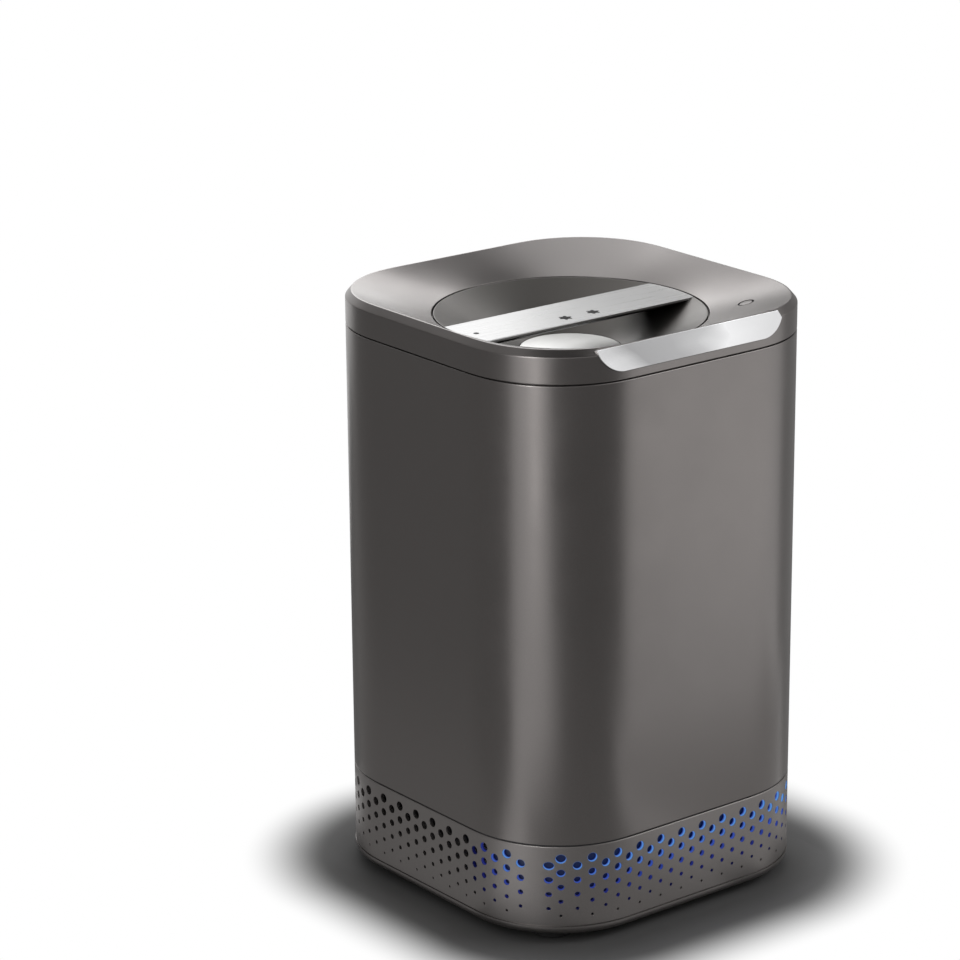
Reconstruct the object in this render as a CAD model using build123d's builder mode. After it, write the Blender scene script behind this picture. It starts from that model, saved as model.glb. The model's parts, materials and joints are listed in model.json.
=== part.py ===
from build123d import *
from math import acos, asin, atan2, ceil, cos, degrees, floor, hypot, pi, radians, sin, sqrt, tan
import os

os.makedirs("parts", exist_ok=True)

# Electric food waste composter. Millimetres, +Z up, origin on the floor under the middle of the body.
# Front is -Y: the polished trim and the power button are there. The filter drawer is at the back, +Y.

# ---------------------------------------------------------------- outer housing
body_width = 230.0          # square footprint, face to face
corner_radius = 65.0        # vertical corners
foot_height = 5.0
pan_height = 6.0            # visible rim of the base pan
skirt_height = 51.5         # perforated skirt, seam to seam
shell_height = 282.5        # plain body shell, seam to seam
collar_height = 20.0        # top collar, seam to rim
seam = 0.8                  # shadow gap at each seam
seam_setback = 1.0          # depth of that gap
shell_wall = 2.0
skirt_wall = 2.5
spigot_wall = 2.0           # tongues that locate one housing piece inside the next
spigot_height = 5.0
pan_floor = 3.0
pan_edge_round = 4.5

# ---------------------------------------------------------------- top collar and its dished deck
rim_bevel_inset = 3.5
rim_bevel_height = 4.0
rim_land = 0.8
dish_depth = 13.0           # rim down to the lid circle
deck_thickness = 3.0
collar_wall = 3.0
lid_margin = 32.7           # body's side to the lid's edge
lid_gap = 1.0               # dark ring around the lid
lid_ledge_depth = 4.0       # deck edge down to the ledge under the lid's rim
lid_overlap = 1.5           # lid's rim over the ledge
throat_wall = 2.5
throat_depth = 26.0         # ledge down to the top of the bucket well

# ---------------------------------------------------------------- front trim
trim_overrun = 5.6          # lower edge, beyond the flat of the front at each end
trim_end_radius = 19.0
trim_thickness = 2.5
trim_lean = 4.0             # how far the facet leans back over its height
trim_rise = 14.2
trim_drop = 0.5             # rim crest down to the facet's upper edge

# ---------------------------------------------------------------- perforations
hole_column_pitch = 8.21
hole_row_pitch = 9.15
hole_rows = 5
hole_top_drop = 8.1         # skirt seam down to the first row
hole_top_diameter = 6.2
hole_bottom_diameter = 1.6
face_margin = 16.0          # last column to the side of the body, front and back
side_margin = 32.0          # the same on the left and right

# ---------------------------------------------------------------- lid
lid_thickness = 2.8
lid_floor_drop = 22.0       # lid rim down to the flat of the bowl
lid_disc_radius = 30.7
lid_disc_crown = 1.0
lid_disc_thickness = 1.5
bar_width = 41.0
bar_thickness = 2.0
bridge_width = 22.0
bridge_height = 5.5
lid_turn_angle = 25.0
tab_angle = 8.0
tab_thickness = 1.6
tab_length = 16.0
liner_thickness = 2.0
seal_height = 2.0
seal_width = 3.3
pivot_radius = 4.0
pivot_head_radius = 8.0
pivot_head_rise = 1.0       # head's underside below the seal's

# ---------------------------------------------------------------- bucket and paddle
bucket_clearance = 2.3      # bucket inside the throat, on the radius
bucket_rim_drop = 3.9       # throat's lower edge down to the bucket's rim
bucket_wall = 1.2
bucket_floor = 1.5
bucket_corner = 8.0
bucket_foot_inset = 16.5    # bucket's side to its foot ring
bucket_foot_wall = 2.0
drive_space = 16.5          # well floor up to the bucket's underside
paddle_gap = 6.3            # bucket's wall to the tip of a long arm
paddle_hub_radius = 12.0
paddle_shaft_radius = 7.0
paddle_hub_height = 50.0
dog_across_flats = 14.0
dog_height = 9.5
grip_depth = 15.0           # how far a grip stands in from the wall
grip_half_angle = 18.0
breaker_length = 55.0
breaker_width = 8.0
breaker_height = 8.0

# ---------------------------------------------------------------- well, heater, chassis
well_wall = 1.2
well_floor = 1.5
well_gap = 0.7              # the well is this much wider than the throat
well_rise = 2.0             # filter bay up to the well
heater_height = 30.0
heater_thickness = 1.6
deck_plate = 3.0            # chassis deck
well_post_radius = 5.0

# ---------------------------------------------------------------- gear train
motor_offset = 62.0         # output shaft to motor shaft
motor_radius = 18.0
motor_height = 44.0
fine_module = 1.0
coarse_module = 1.25
pinion_teeth = 14
big_teeth = 48
small_teeth = 15
output_teeth = 45
fine_face = 8.0
coarse_face = 10.0
output_shaft_radius = 6.0
counter_shaft_radius = 3.0
motor_shaft_radius = 2.5
gearbox_wall = 2.5
gearbox_height = 33.0
gearbox_plate = 3.0
pressure_angle = 20.0
addendum = 0.8              # stub teeth, in modules
dedendum = 1.05

# ---------------------------------------------------------------- fan, duct, filter drawer
fan_housing_radius = 27.0
fan_corner_gap = 0.6        # fan housing to the shell's rear right corner
fan_housing_height = 27.0
fan_wheel_radius = 22.0
fan_blades = 16
duct_radius = 14.0
duct_wall = 1.4
bay_width = 90.0
bay_centre_x = -5.0
bay_depth = 79.0
bay_height = 33.0
bay_wall = 1.5
drawer_front_thickness = 6.5

# ---------------------------------------------------------------- button, inlet, fits
button_inset_side = 35.5
button_inset_front = 47.0
button_radius = 6.25
button_travel = 0.8
inlet_x = -34.0
inlet_width = 28.0
inlet_height = 20.0
inlet_depth = 24.0
running = 0.05              # shaft in a bore, on the radius
slip = 0.15                 # one fixed piece inside another
play = 0.3                  # between bodies that move apart

# ---------------------------------------------------------------- levels
half = body_width / 2
corner_centre = half - corner_radius         # X and Y of a corner's axis
lid_radius = half - lid_margin
opening_radius = lid_radius + lid_gap
throat_radius = lid_radius - lid_overlap
throat_outer = throat_radius + throat_wall
well_inner = throat_radius + well_gap
well_outer = well_inner + well_wall
bucket_radius = throat_radius - bucket_clearance
bucket_inner = bucket_radius - bucket_wall
bucket_foot_radius = bucket_radius - bucket_foot_inset
button_x = half - button_inset_side
button_y = button_inset_front - half
fan_place = corner_centre + (corner_radius - shell_wall - fan_housing_radius - fan_corner_gap) / sqrt(2)
z_skirt = foot_height + pan_height
z_shell = z_skirt + skirt_height
z_collar = z_shell + shell_height
z_rim = z_collar + collar_height
z_dish = z_rim - dish_depth
z_ledge = z_dish - lid_ledge_depth
z_throat = z_ledge - throat_depth
z_floor = foot_height + pan_floor           # top of the base pan's floor
z_deck = z_shell + deck_plate - seam / 2    # top of the chassis deck
z_bay = z_deck + bay_height                 # top of the filter bay
z_well = z_bay + well_rise                  # underside of the bucket well
z_well_floor = z_well + well_floor
z_bucket = z_well_floor + drive_space       # underside of the bucket
z_bucket_floor = z_bucket + bucket_floor
z_bucket_rim = z_throat - bucket_rim_drop


def square_tube(width, radius, wall, z_low, z_high):
    """A rounded square wall; width and radius are those of its outer face."""
    with BuildPart() as tube:
        with BuildSketch(Plane.XY.offset(z_low)):
            RectangleRounded(width, width, radius)
            RectangleRounded(width - 2 * wall, width - 2 * wall, radius - wall, mode=Mode.SUBTRACT)
        extrude(amount=z_high - z_low)
    return tube.part


def square_block(width, radius, z_low, z_high):
    with BuildPart() as block:
        with BuildSketch(Plane.XY.offset(z_low)):
            RectangleRounded(width, width, radius)
        extrude(amount=z_high - z_low)
    return block.part


def ring(outer, inner, z_low, z_high, x=0.0, y=0.0):
    """A round tube, or a disc where inner is 0."""
    with BuildPart() as tube:
        with BuildSketch(Plane.XY.offset(z_low)):
            with Locations((x, y)):
                Circle(outer)
                if inner > 0:
                    Circle(inner, mode=Mode.SUBTRACT)
        extrude(amount=z_high - z_low)
    return tube.part


def screw_set(places, z_seat, radius, length, way=1):
    """Pan-head screws with their heads seated at z_seat; way is 1 for heads up and -1 for heads down."""
    with BuildPart() as screws:
        with BuildSketch(Plane.XY.offset(z_seat)):
            with Locations(*places):
                Circle(1.9 * radius)
        extrude(amount=way * 1.2 * radius)
        fillet(screws.edges().group_by(Axis.Z)[-1 if way > 0 else 0], 0.35 * radius)
        with BuildSketch(Plane.XY.offset(z_seat)):
            with Locations(*places):
                Circle(radius - running)
        extrude(amount=-way * length)
    return screws.part


def sector(outer, inner, start, sweep, z_low, z_high):
    """A piece of a round wall, from angle start over angle sweep."""
    reach = 2 * outer
    steps = max(1, ceil(sweep / 60))
    fan = [(0, 0)]
    angles = [radians(start + sweep * i / steps) for i in range(steps + 1)]
    fan += [(reach * cos(a), reach * sin(a)) for a in angles]
    with BuildPart() as wedge:
        with BuildSketch(Plane.XY.offset(z_low)):
            Circle(outer)
            Circle(inner, mode=Mode.SUBTRACT)
            Polygon(*fan, align=None, mode=Mode.INTERSECT)
        extrude(amount=z_high - z_low)
    return wedge.part


def rim_reach(angle, width, radius):
    """Distance from the axis to a rounded square's outline, in the direction angle (degrees)."""
    c = abs(cos(radians(angle)))
    s = abs(sin(radians(angle)))
    flat = width / 2 - radius
    straight = width / 2 / max(c, s)
    if min(c, s) * straight <= flat:
        return straight
    middle = flat * (c + s)
    return middle + sqrt(radius ** 2 - 2 * flat ** 2 + middle ** 2)


dish_width = body_width - 2 * (rim_bevel_inset + rim_land)
dish_radius = corner_radius - rim_bevel_inset - rim_land


def deck_height(x, y):
    """Height of the dished deck's upper face over the point x, y."""
    reach = rim_reach(degrees(atan2(y, x)), dish_width, dish_radius)
    share = (hypot(x, y) - opening_radius) / (reach - opening_radius)
    return z_dish + dish_depth * share


def dish(drop, z_top):
    """The space over the deck: a funnel from the rounded square down to the lid circle."""
    flat = dish_width / 2 - dish_radius
    turn = degrees(atan2(flat, dish_width / 2))
    stops = [side * 90 + offset for side in range(4) for offset in (-turn, turn)]
    with BuildPart() as funnel:
        with BuildSketch(Plane.XY.offset(z_dish - drop)):
            with BuildLine():
                for index, start in enumerate(stops):
                    end = stops[(index + 1) % 8] + (360 if index == 7 else 0)
                    points = [(opening_radius * cos(radians(a)), opening_radius * sin(radians(a)))
                              for a in (start, (start + end) / 2, end)]
                    ThreePointArc(*points)
            make_face()
        with BuildSketch(Plane.XY.offset(z_top - drop)):
            RectangleRounded(dish_width, dish_width, dish_radius)
        loft(ruled=True)
    return funnel.part


# ================================================================ base
foot_place = half - 33.0
foot_radius = 13.0
foot_edge_round = 1.2
foot_plug_radius = 9.0
foot_plug = 1.5                              # how far a foot's plug goes up into the pan

with BuildPart() as rubber_feet:
    with GridLocations(2 * foot_place, 2 * foot_place, 2, 2):
        Cylinder(foot_radius, foot_height, align=(Align.CENTER, Align.CENTER, Align.MIN))
    fillet(rubber_feet.edges().group_by(Axis.Z)[0], foot_edge_round)
    with BuildSketch(Plane.XY.offset(foot_height)):
        with GridLocations(2 * foot_place, 2 * foot_place, 2, 2):
            Circle(foot_plug_radius)
    extrude(amount=foot_plug - slip)
rubber_feet.part.label = "rubber_feet"
export_step(rubber_feet.part, "parts/rubber_feet.step")

output_tip = (output_teeth / 2 + addendum) * coarse_module
big_tip = (big_teeth / 2 + addendum) * fine_module
fine_centres = (pinion_teeth + big_teeth) * fine_module / 2
coarse_centres = (small_teeth + output_teeth) * coarse_module / 2
counter_y = -(coarse_centres ** 2 + motor_offset ** 2 - fine_centres ** 2) / (2 * motor_offset)
counter_x = sqrt(coarse_centres ** 2 - counter_y ** 2)
gear_room = 2.4                              # tooth tips to the gearbox wall
box_left = -(output_tip + gear_room + gearbox_wall)
box_right = counter_x + big_tip + gear_room + gearbox_wall
box_back = output_tip + gear_room + gearbox_wall
box_front = -(motor_offset + motor_radius + gearbox_wall)
ear_radius = 5.0
ear_inset = 16.0
ear_overlap = 1.0
ear_height = 10.0
ear_places = [(x, y) for x in (box_left - ear_radius + ear_overlap, box_right + ear_radius - ear_overlap)
              for y in (box_front + ear_inset, box_back - ear_inset)]
pad_height = 4.0                             # pads on the pan that carry the gearbox
z_gearbox = z_floor + pad_height
gear_screw_radius = 1.5
thread_clearance = 0.5                       # hole deeper than its screw

post_x = half - 17.0
post_y = 18.0
post_radius = 5.0
post_screw_radius = 2.0
post_screw_length = 16.0

pan_inside = body_width - 2 * (skirt_wall + slip + spigot_wall)

with BuildPart() as base_pan:
    with BuildSketch(Plane.XY.offset(foot_height)):
        RectangleRounded(body_width, body_width, corner_radius)
    extrude(amount=pan_height - seam / 2)
    fillet(base_pan.edges().group_by(Axis.Z)[0], pan_edge_round)
    with BuildSketch(Plane.XY.offset(z_floor)):
        RectangleRounded(pan_inside, pan_inside, corner_radius - (body_width - pan_inside) / 2)
    extrude(amount=pan_height, mode=Mode.SUBTRACT)
    # band that fills the seam, then the tongue inside the skirt
    add(square_tube(body_width - 2 * seam_setback, corner_radius - seam_setback, skirt_wall + spigot_wall
                    - seam_setback + slip, z_skirt - seam / 2, z_skirt + seam / 2))
    add(square_tube(body_width - 2 * (skirt_wall + slip), corner_radius - skirt_wall - slip, spigot_wall,
                    z_skirt, z_skirt + spigot_height))
    with BuildSketch(Plane.XY.offset(z_floor)):
        with GridLocations(2 * post_x, 2 * post_y, 2, 2):
            Circle(post_radius)
    extrude(amount=z_shell - seam / 2 - z_floor)
    with BuildSketch(Plane.XY.offset(z_floor)):
        with Locations(*ear_places):
            Circle(ear_radius)
    extrude(amount=z_gearbox - z_floor)
    with BuildSketch(Plane.XY.offset(foot_height)):
        with GridLocations(2 * foot_place, 2 * foot_place, 2, 2):
            Circle(foot_plug_radius + slip)
    extrude(amount=foot_plug, mode=Mode.SUBTRACT)
    with BuildSketch(Plane.XY.offset(z_shell)):
        with GridLocations(2 * post_x, 2 * post_y, 2, 2):
            Circle(post_screw_radius)
    extrude(amount=deck_plate - seam - post_screw_length, mode=Mode.SUBTRACT)
    with BuildSketch(Plane.XY.offset(z_gearbox)):
        with Locations(*ear_places):
            Circle(gear_screw_radius)
    extrude(amount=-pad_height, mode=Mode.SUBTRACT)
base_pan.part.label = "base_pan"
export_step(base_pan.part, "parts/base_pan.step")

# ================================================================ perforated skirt
z_hole_top = z_shell - hole_top_drop
hole_span = (hole_rows - 1) * hole_row_pitch
lip_height = 3.0
lip_width = 7.0
z_inlet = z_skirt + skirt_height / 2
inlet_blank = 6.0                            # plain margin round the inlet


def hole_rows_on(plane, margin, keep_out):
    """Staggered holes over one face; keep_out gives the half width left blank around the inlet."""
    last = floor((half - margin) / hole_column_pitch)
    into_corner = max(last * hole_column_pitch - corner_centre, 0)
    depth = corner_radius - sqrt(corner_radius ** 2 - into_corner ** 2) + 2 * skirt_wall
    with BuildPart() as drills:
        with BuildSketch(plane):
            for row in range(2 * hole_rows - 1):
                drop = row * hole_row_pitch / 2
                size = hole_top_diameter + (hole_bottom_diameter - hole_top_diameter) * drop / hole_span
                columns = [k for k in range(-last, last + 1) if (k + row) % 2 == 1]
                places = [(k * hole_column_pitch, z_hole_top - drop) for k in columns
                          if abs(k * hole_column_pitch + inlet_x) > keep_out]
                with Locations(*places):
                    Circle(size / 2)
        extrude(amount=-depth)
    return drills.part


with BuildPart() as vent_skirt:
    add(square_tube(body_width, corner_radius, skirt_wall, z_skirt + seam / 2, z_shell - seam / 2))
    add(square_tube(body_width - 2 * skirt_wall, corner_radius - skirt_wall, lip_width - skirt_wall,
                    z_shell - seam / 2 - lip_height, z_shell - seam / 2))
    for turn in range(4):
        outward = Vector(sin(radians(90 * turn)), -cos(radians(90 * turn)), 0)
        along = Vector(cos(radians(90 * turn)), sin(radians(90 * turn)), 0)
        face = Plane(origin=outward * half, x_dir=along, z_dir=outward)
        margin = face_margin if turn % 2 == 0 else side_margin
        keep_out = inlet_width / 2 + inlet_blank if turn == 2 else -1
        add(hole_rows_on(face, margin, keep_out), mode=Mode.SUBTRACT)
    with BuildSketch(Plane.XZ.offset(-half)):
        with Locations((inlet_x, z_inlet)):
            Rectangle(inlet_width + 2 * slip, inlet_height + 2 * slip)
    extrude(amount=2 * skirt_wall, mode=Mode.SUBTRACT)
vent_skirt.part.label = "vent_skirt"
export_step(vent_skirt.part, "parts/vent_skirt.step")

# ================================================================ inlet
inlet_wall = 2.0
inlet_flange = 3.0
inlet_corner = 2.0
pin_spacing = 7.0
pin_stagger = 2.0                            # the earth pin stands higher, the other two lower
pin_width = 2.0
pin_height = 4.0
pin_recess = 2.0                             # pin tips, in from the face
pin_tail = 4.0
pin_positions = [(inlet_x + side * pin_spacing, z_inlet + pin_stagger * (1 - 2 * abs(side)))
                 for side in (-1, 0, 1)]

with BuildPart() as inlet_socket:
    with BuildSketch(Plane.XZ.offset(-half)):
        with Locations((inlet_x, z_inlet)):
            RectangleRounded(inlet_width, inlet_height, inlet_corner)
    extrude(amount=inlet_depth)
    with BuildSketch(Plane.XZ.offset(-(half - skirt_wall - slip))):
        with Locations((inlet_x, z_inlet)):
            Rectangle(inlet_width + 2 * inlet_flange, inlet_height + 2 * inlet_flange)
    extrude(amount=inlet_wall)
    with BuildSketch(Plane.XZ.offset(-half)):
        with Locations((inlet_x, z_inlet)):
            RectangleRounded(inlet_width - 2 * inlet_wall, inlet_height - 2 * inlet_wall, inlet_corner / 2)
    extrude(amount=inlet_depth - inlet_wall, mode=Mode.SUBTRACT)
    with BuildSketch(Plane.XZ.offset(-(half - inlet_depth))):
        with Locations(*pin_positions):
            Rectangle(pin_width + 2 * slip, pin_height + 2 * slip)
    extrude(amount=-inlet_wall, mode=Mode.SUBTRACT)
inlet_socket.part.label = "inlet_socket"
export_step(inlet_socket.part, "parts/inlet_socket.step")

with BuildPart() as inlet_pins:
    with BuildSketch(Plane.XZ.offset(-(half - inlet_depth - pin_tail))):
        with Locations(*pin_positions):
            Rectangle(pin_width, pin_height)
    extrude(amount=-(inlet_depth + pin_tail - pin_recess))
inlet_pins.part.label = "inlet_pins"
export_step(inlet_pins.part, "parts/inlet_pins.step")

# ================================================================ blue light behind the skirt
guide_gap = 0.5
guide_wall = 1.5
led_gap = 2.0
led_count = 8
led_pitch = 14.0
led_size = 5.0
led_height = 1.5
led_board_thickness = 1.6
led_board_rise = 36.0
guide_overrun = 12.0                         # along each side, past the flat of the front
guide_end = -corner_centre - guide_overrun
guide_face = half - skirt_wall - guide_gap - guide_wall      # inner face of the guide
z_leds = z_floor + led_board_rise - led_size

with BuildPart() as light_guide:
    add(square_tube(body_width - 2 * (skirt_wall + guide_gap), corner_radius - skirt_wall - guide_gap,
                    guide_wall, z_skirt + spigot_height, z_shell - seam / 2 - lip_height))
    with BuildSketch(Plane.XY.offset(z_skirt)):
        with Locations((0, guide_end - half)):
            Rectangle(body_width, 2 * half)
    extrude(amount=skirt_height, mode=Mode.INTERSECT)
light_guide.part.label = "light_guide"
export_step(light_guide.part, "parts/light_guide.step")

with BuildPart() as led_board:
    with BuildSketch(Plane.XZ.offset(guide_face - led_gap - led_height)):
        with Locations((0, z_floor + led_board_rise / 2)):
            Rectangle(led_count * led_pitch, led_board_rise)
    extrude(amount=-led_board_thickness)
led_board.part.label = "led_board"
export_step(led_board.part, "parts/led_board.step")

with BuildPart() as leds:
    with BuildSketch(Plane.XZ.offset(guide_face - led_gap - led_height)):
        with Locations((0, z_leds)):
            with GridLocations(led_pitch, 1, led_count, 1):
                Rectangle(led_size, led_size)
    extrude(amount=led_height)
leds.part.label = "leds"
export_step(leds.part, "parts/leds.step")

# ================================================================ chassis deck
deck_inside = body_width - 2 * (shell_wall + slip)
well_post_ring = well_outer - 12.7
well_post_places = [(well_post_ring * cos(radians(a)), well_post_ring * sin(radians(a)))
                    for a in (35, 165, 205, 335)]
bush_seat = 4.0                              # bushes and seals around the output shaft, on the radius
shaft_hole_radius = output_shaft_radius + bush_seat
motor_hole_radius = motor_radius + 2.0
post_places = [(x, y) for x in (-post_x, post_x) for y in (-post_y, post_y)]

with BuildPart() as chassis_deck:
    add(square_block(deck_inside, deck_inside / 2 - half + corner_radius, z_shell - seam / 2, z_deck))
    add(square_tube(body_width - 2 * seam_setback, corner_radius - seam_setback, 2 * shell_wall,
                    z_shell - seam / 2, z_shell + seam / 2))
    add(square_tube(deck_inside, deck_inside / 2 - half + corner_radius, spigot_wall,
                    z_deck, z_deck + spigot_height))
    with BuildSketch(Plane.XY.offset(z_deck)):
        with Locations(*well_post_places):
            Circle(well_post_radius)
    extrude(amount=z_well - z_deck)
    with BuildSketch(Plane.XY.offset(z_deck)):
        Circle(shaft_hole_radius)
        with Locations((0, -motor_offset)):
            Circle(motor_hole_radius)
        with GridLocations(2 * post_x, 2 * post_y, 2, 2):
            Circle(post_screw_radius + slip)
    extrude(amount=-2 * deck_plate, mode=Mode.SUBTRACT)
    # the tongue is interrupted for the filter drawer at the back and for the fan in its corner
    with BuildSketch(Plane.XY.offset(z_deck)):
        with Locations((bay_centre_x, half)):
            Rectangle(bay_width + 2 * slip, 4 * skirt_wall + 4 * spigot_wall)
        with Locations((fan_place, fan_place)):
            Circle(fan_housing_radius + play)
    extrude(amount=2 * spigot_height, mode=Mode.SUBTRACT)
chassis_deck.part.label = "chassis_deck"
export_step(chassis_deck.part, "parts/chassis_deck.step")

with BuildPart() as chassis_screws:
    add(screw_set(post_places, z_deck, post_screw_radius, post_screw_length))
chassis_screws.part.label = "chassis_screws"
export_step(chassis_screws.part, "parts/chassis_screws.step")

# ================================================================ body shell
drawer_opening_corner = 2.0

with BuildPart() as body_shell:
    add(square_tube(body_width, corner_radius, shell_wall, z_shell + seam / 2, z_collar - seam / 2))
    with BuildSketch(Plane.XZ.offset(-half)):
        with Locations((bay_centre_x, (z_deck + z_bay) / 2)):
            RectangleRounded(bay_width + 2 * play, bay_height + 2 * play, drawer_opening_corner)
    extrude(amount=2 * shell_wall, mode=Mode.SUBTRACT)
body_shell.part.label = "body_shell"
export_step(body_shell.part, "parts/body_shell.step")

# ================================================================ gearbox
z_box_floor = z_gearbox + gearbox_plate
z_box_top = z_box_floor + gearbox_height
z_coarse = z_box_floor + 2.0                 # output gear and the small gear that drives it
stage_gap = 3.0
z_fine = z_coarse + coarse_face + stage_gap  # big gear and pinion
box_middle = ((box_left + box_right) / 2, (box_front + box_back) / 2)
box_size = (box_right - box_left, box_back - box_front)
box_corner = 12.0
box_edge_round = 2.0
bush_wall = 2.0
gear_play = 0.12                             # tooth thinning on each gear


def gear_outline(teeth, module, turn):
    """Involute spur gear outline; one tooth stands at the angle turn (radians)."""
    pitch = teeth * module / 2
    pressure = radians(pressure_angle)
    base = pitch * cos(pressure)
    tip = pitch + addendum * module
    root = pitch - dedendum * module
    start = max(base, root)
    half_at_pitch = pi / 2 / teeth - gear_play / 2 / pitch

    def flank(radius, side, centre):
        """A point on one side of a tooth; inside the base circle the side runs straight to the axis."""
        at = acos(min(1, base / max(radius, start)))
        spread = half_at_pitch + tan(pressure) - pressure - (tan(at) - at)
        return (radius * cos(centre + side * spread), radius * sin(centre + side * spread))

    with BuildLine() as outline:
        for tooth in range(teeth):
            centre = turn + 2 * pi * tooth / teeth
            following = centre + 2 * pi / teeth
            middle = (start + tip) / 2
            gap = centre + pi / teeth
            if start > root:
                Line(flank(root, -1, centre), flank(start, -1, centre))
                Line(flank(start, 1, centre), flank(root, 1, centre))
            ThreePointArc(flank(start, -1, centre), flank(middle, -1, centre), flank(tip, -1, centre))
            crest = (tip * cos(centre), tip * sin(centre))
            ThreePointArc(flank(tip, -1, centre), crest, flank(tip, 1, centre))
            ThreePointArc(flank(tip, 1, centre), flank(middle, 1, centre), flank(start, 1, centre))
            ThreePointArc(flank(root, 1, centre), (root * cos(gap), root * sin(gap)),
                          flank(root, -1, following))
    return outline.line


def mesh_turn(teeth_a, turn_a, teeth_b, direction):
    """Turn of gear b, so that it meshes with gear a along the line from a to b (radians)."""
    share = (direction - turn_a) / (2 * pi / teeth_a) % 1
    return direction + pi - (0.5 - share) * 2 * pi / teeth_b


def gear(teeth, module, turn, x, y, z_low, face, bore):
    with BuildPart() as wheel:
        with BuildSketch(Plane(origin=(x, y, z_low))):
            add(make_face(gear_outline(teeth, module, turn), mode=Mode.PRIVATE))
            if bore > 0:
                Circle(bore, mode=Mode.SUBTRACT)
        extrude(amount=face)
    return wheel.part


to_counter = atan2(counter_y, counter_x)
to_motor = atan2(-motor_offset - counter_y, -counter_x)
small_turn = mesh_turn(output_teeth, 0, small_teeth, to_counter)
pinion_turn = mesh_turn(big_teeth, 0, pinion_teeth, to_motor)

with BuildPart() as gearbox_base:
    with BuildSketch(Plane.XY.offset(z_gearbox)):
        with Locations(box_middle):
            RectangleRounded(*box_size, box_corner)
        with Locations(*ear_places):
            Circle(ear_radius)
        with Locations(*ear_places):
            Circle(gear_screw_radius + slip, mode=Mode.SUBTRACT)
        Circle(output_shaft_radius + bush_wall + slip, mode=Mode.SUBTRACT)
        with Locations((counter_x, counter_y)):
            Circle(counter_shaft_radius + bush_wall + slip, mode=Mode.SUBTRACT)
    extrude(amount=gearbox_plate)
gearbox_base.part.label = "gearbox_base"
export_step(gearbox_base.part, "parts/gearbox_base.step")

with BuildPart() as gearbox_cover:
    with BuildSketch(Plane.XY.offset(z_box_floor)):
        with Locations(box_middle):
            RectangleRounded(*box_size, box_corner)
    extrude(amount=gearbox_height)
    fillet(gearbox_cover.edges().group_by(Axis.Z)[-1], box_edge_round)
    with BuildSketch(Plane.XY.offset(z_box_floor)):
        with Locations(*ear_places):
            Circle(ear_radius)
    extrude(amount=ear_height)
    with BuildSketch(Plane.XY.offset(z_box_floor)):
        with Locations(box_middle):
            RectangleRounded(box_size[0] - 2 * gearbox_wall, box_size[1] - 2 * gearbox_wall,
                             box_corner - gearbox_wall)
    extrude(amount=gearbox_height - gearbox_wall, mode=Mode.SUBTRACT)
    with BuildSketch(Plane.XY.offset(z_box_floor)):
        Circle(output_shaft_radius + bush_wall + slip)
        with Locations((counter_x, counter_y)):
            Circle(counter_shaft_radius + bush_wall + slip)
        with Locations((0, -motor_offset)):
            Circle(motor_shaft_radius + bush_wall + slip)
        with Locations(*ear_places):
            Circle(gear_screw_radius + slip)
    extrude(amount=2 * gearbox_height, mode=Mode.SUBTRACT)
gearbox_cover.part.label = "gearbox_cover"
export_step(gearbox_cover.part, "parts/gearbox_cover.step")

with BuildPart() as gearbox_screws:
    add(screw_set(ear_places, z_box_floor + ear_height, gear_screw_radius,
                  ear_height + gearbox_plate + pad_height - thread_clearance))
gearbox_screws.part.label = "gearbox_screws"
export_step(gearbox_screws.part, "parts/gearbox_screws.step")

output_bush = (output_shaft_radius + bush_wall, output_shaft_radius + running)
counter_bush = (counter_shaft_radius + bush_wall, counter_shaft_radius + running)
bush_stick_out = 1.0
shaft_end_gap = 0.5
hub_wall = 5.0
hub_stick_out = 2.0

with BuildPart() as shaft_bushes:
    add(ring(*output_bush, z_gearbox, z_box_floor + bush_stick_out))
    add(ring(*output_bush, z_box_top - gearbox_wall - bush_stick_out, z_box_top + bush_stick_out))
    add(ring(*counter_bush, z_gearbox, z_box_floor + bush_stick_out, counter_x, counter_y))
    add(ring(*counter_bush, z_box_top - gearbox_wall - bush_stick_out, z_box_top, counter_x, counter_y))
    add(ring(shaft_hole_radius - slip, output_shaft_radius + running, z_shell - seam / 2,
             z_deck + bush_stick_out))
shaft_bushes.part.label = "shaft_bushes"
export_step(shaft_bushes.part, "parts/shaft_bushes.step")

with BuildPart() as output_gear:
    add(gear(output_teeth, coarse_module, 0, 0, 0, z_coarse, coarse_face, output_shaft_radius + running))
    add(ring(output_shaft_radius + hub_wall, output_shaft_radius + running, z_coarse,
             z_coarse + coarse_face + hub_stick_out))
output_gear.part.label = "output_gear"
export_step(output_gear.part, "parts/output_gear.step")

dog_rise = 2.5                               # well floor up to the drive hexagon
dog_chamfer = 1.0
z_dog = z_well_floor + dog_rise
z_output_end = z_dog + dog_height

with BuildPart() as output_shaft:
    add(ring(output_shaft_radius, 0, z_gearbox + shaft_end_gap, z_dog))
    with BuildSketch(Plane.XY.offset(z_dog)):
        RegularPolygon(dog_across_flats / 2, 6, major_radius=False)
    extrude(amount=dog_height)
    chamfer(output_shaft.faces().sort_by(Axis.Z)[-1].edges(), dog_chamfer)
output_shaft.part.label = "output_shaft"
export_step(output_shaft.part, "parts/output_shaft.step")

with BuildPart() as counter_gear:             # both gears and their shaft are one sintered piece
    add(gear(small_teeth, coarse_module, small_turn, counter_x, counter_y, z_coarse, z_fine - z_coarse, 0))
    add(gear(big_teeth, fine_module, 0, counter_x, counter_y, z_fine, fine_face, 0))
    add(ring(counter_shaft_radius, 0, z_gearbox + shaft_end_gap, z_box_top - shaft_end_gap,
             counter_x, counter_y))
counter_gear.part.label = "counter_gear"
export_step(counter_gear.part, "parts/counter_gear.step")

motor_tip = 1.0                              # shaft beyond the pinion
motor_edge_round = 2.0
motor_cap_height = 2.0

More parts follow.
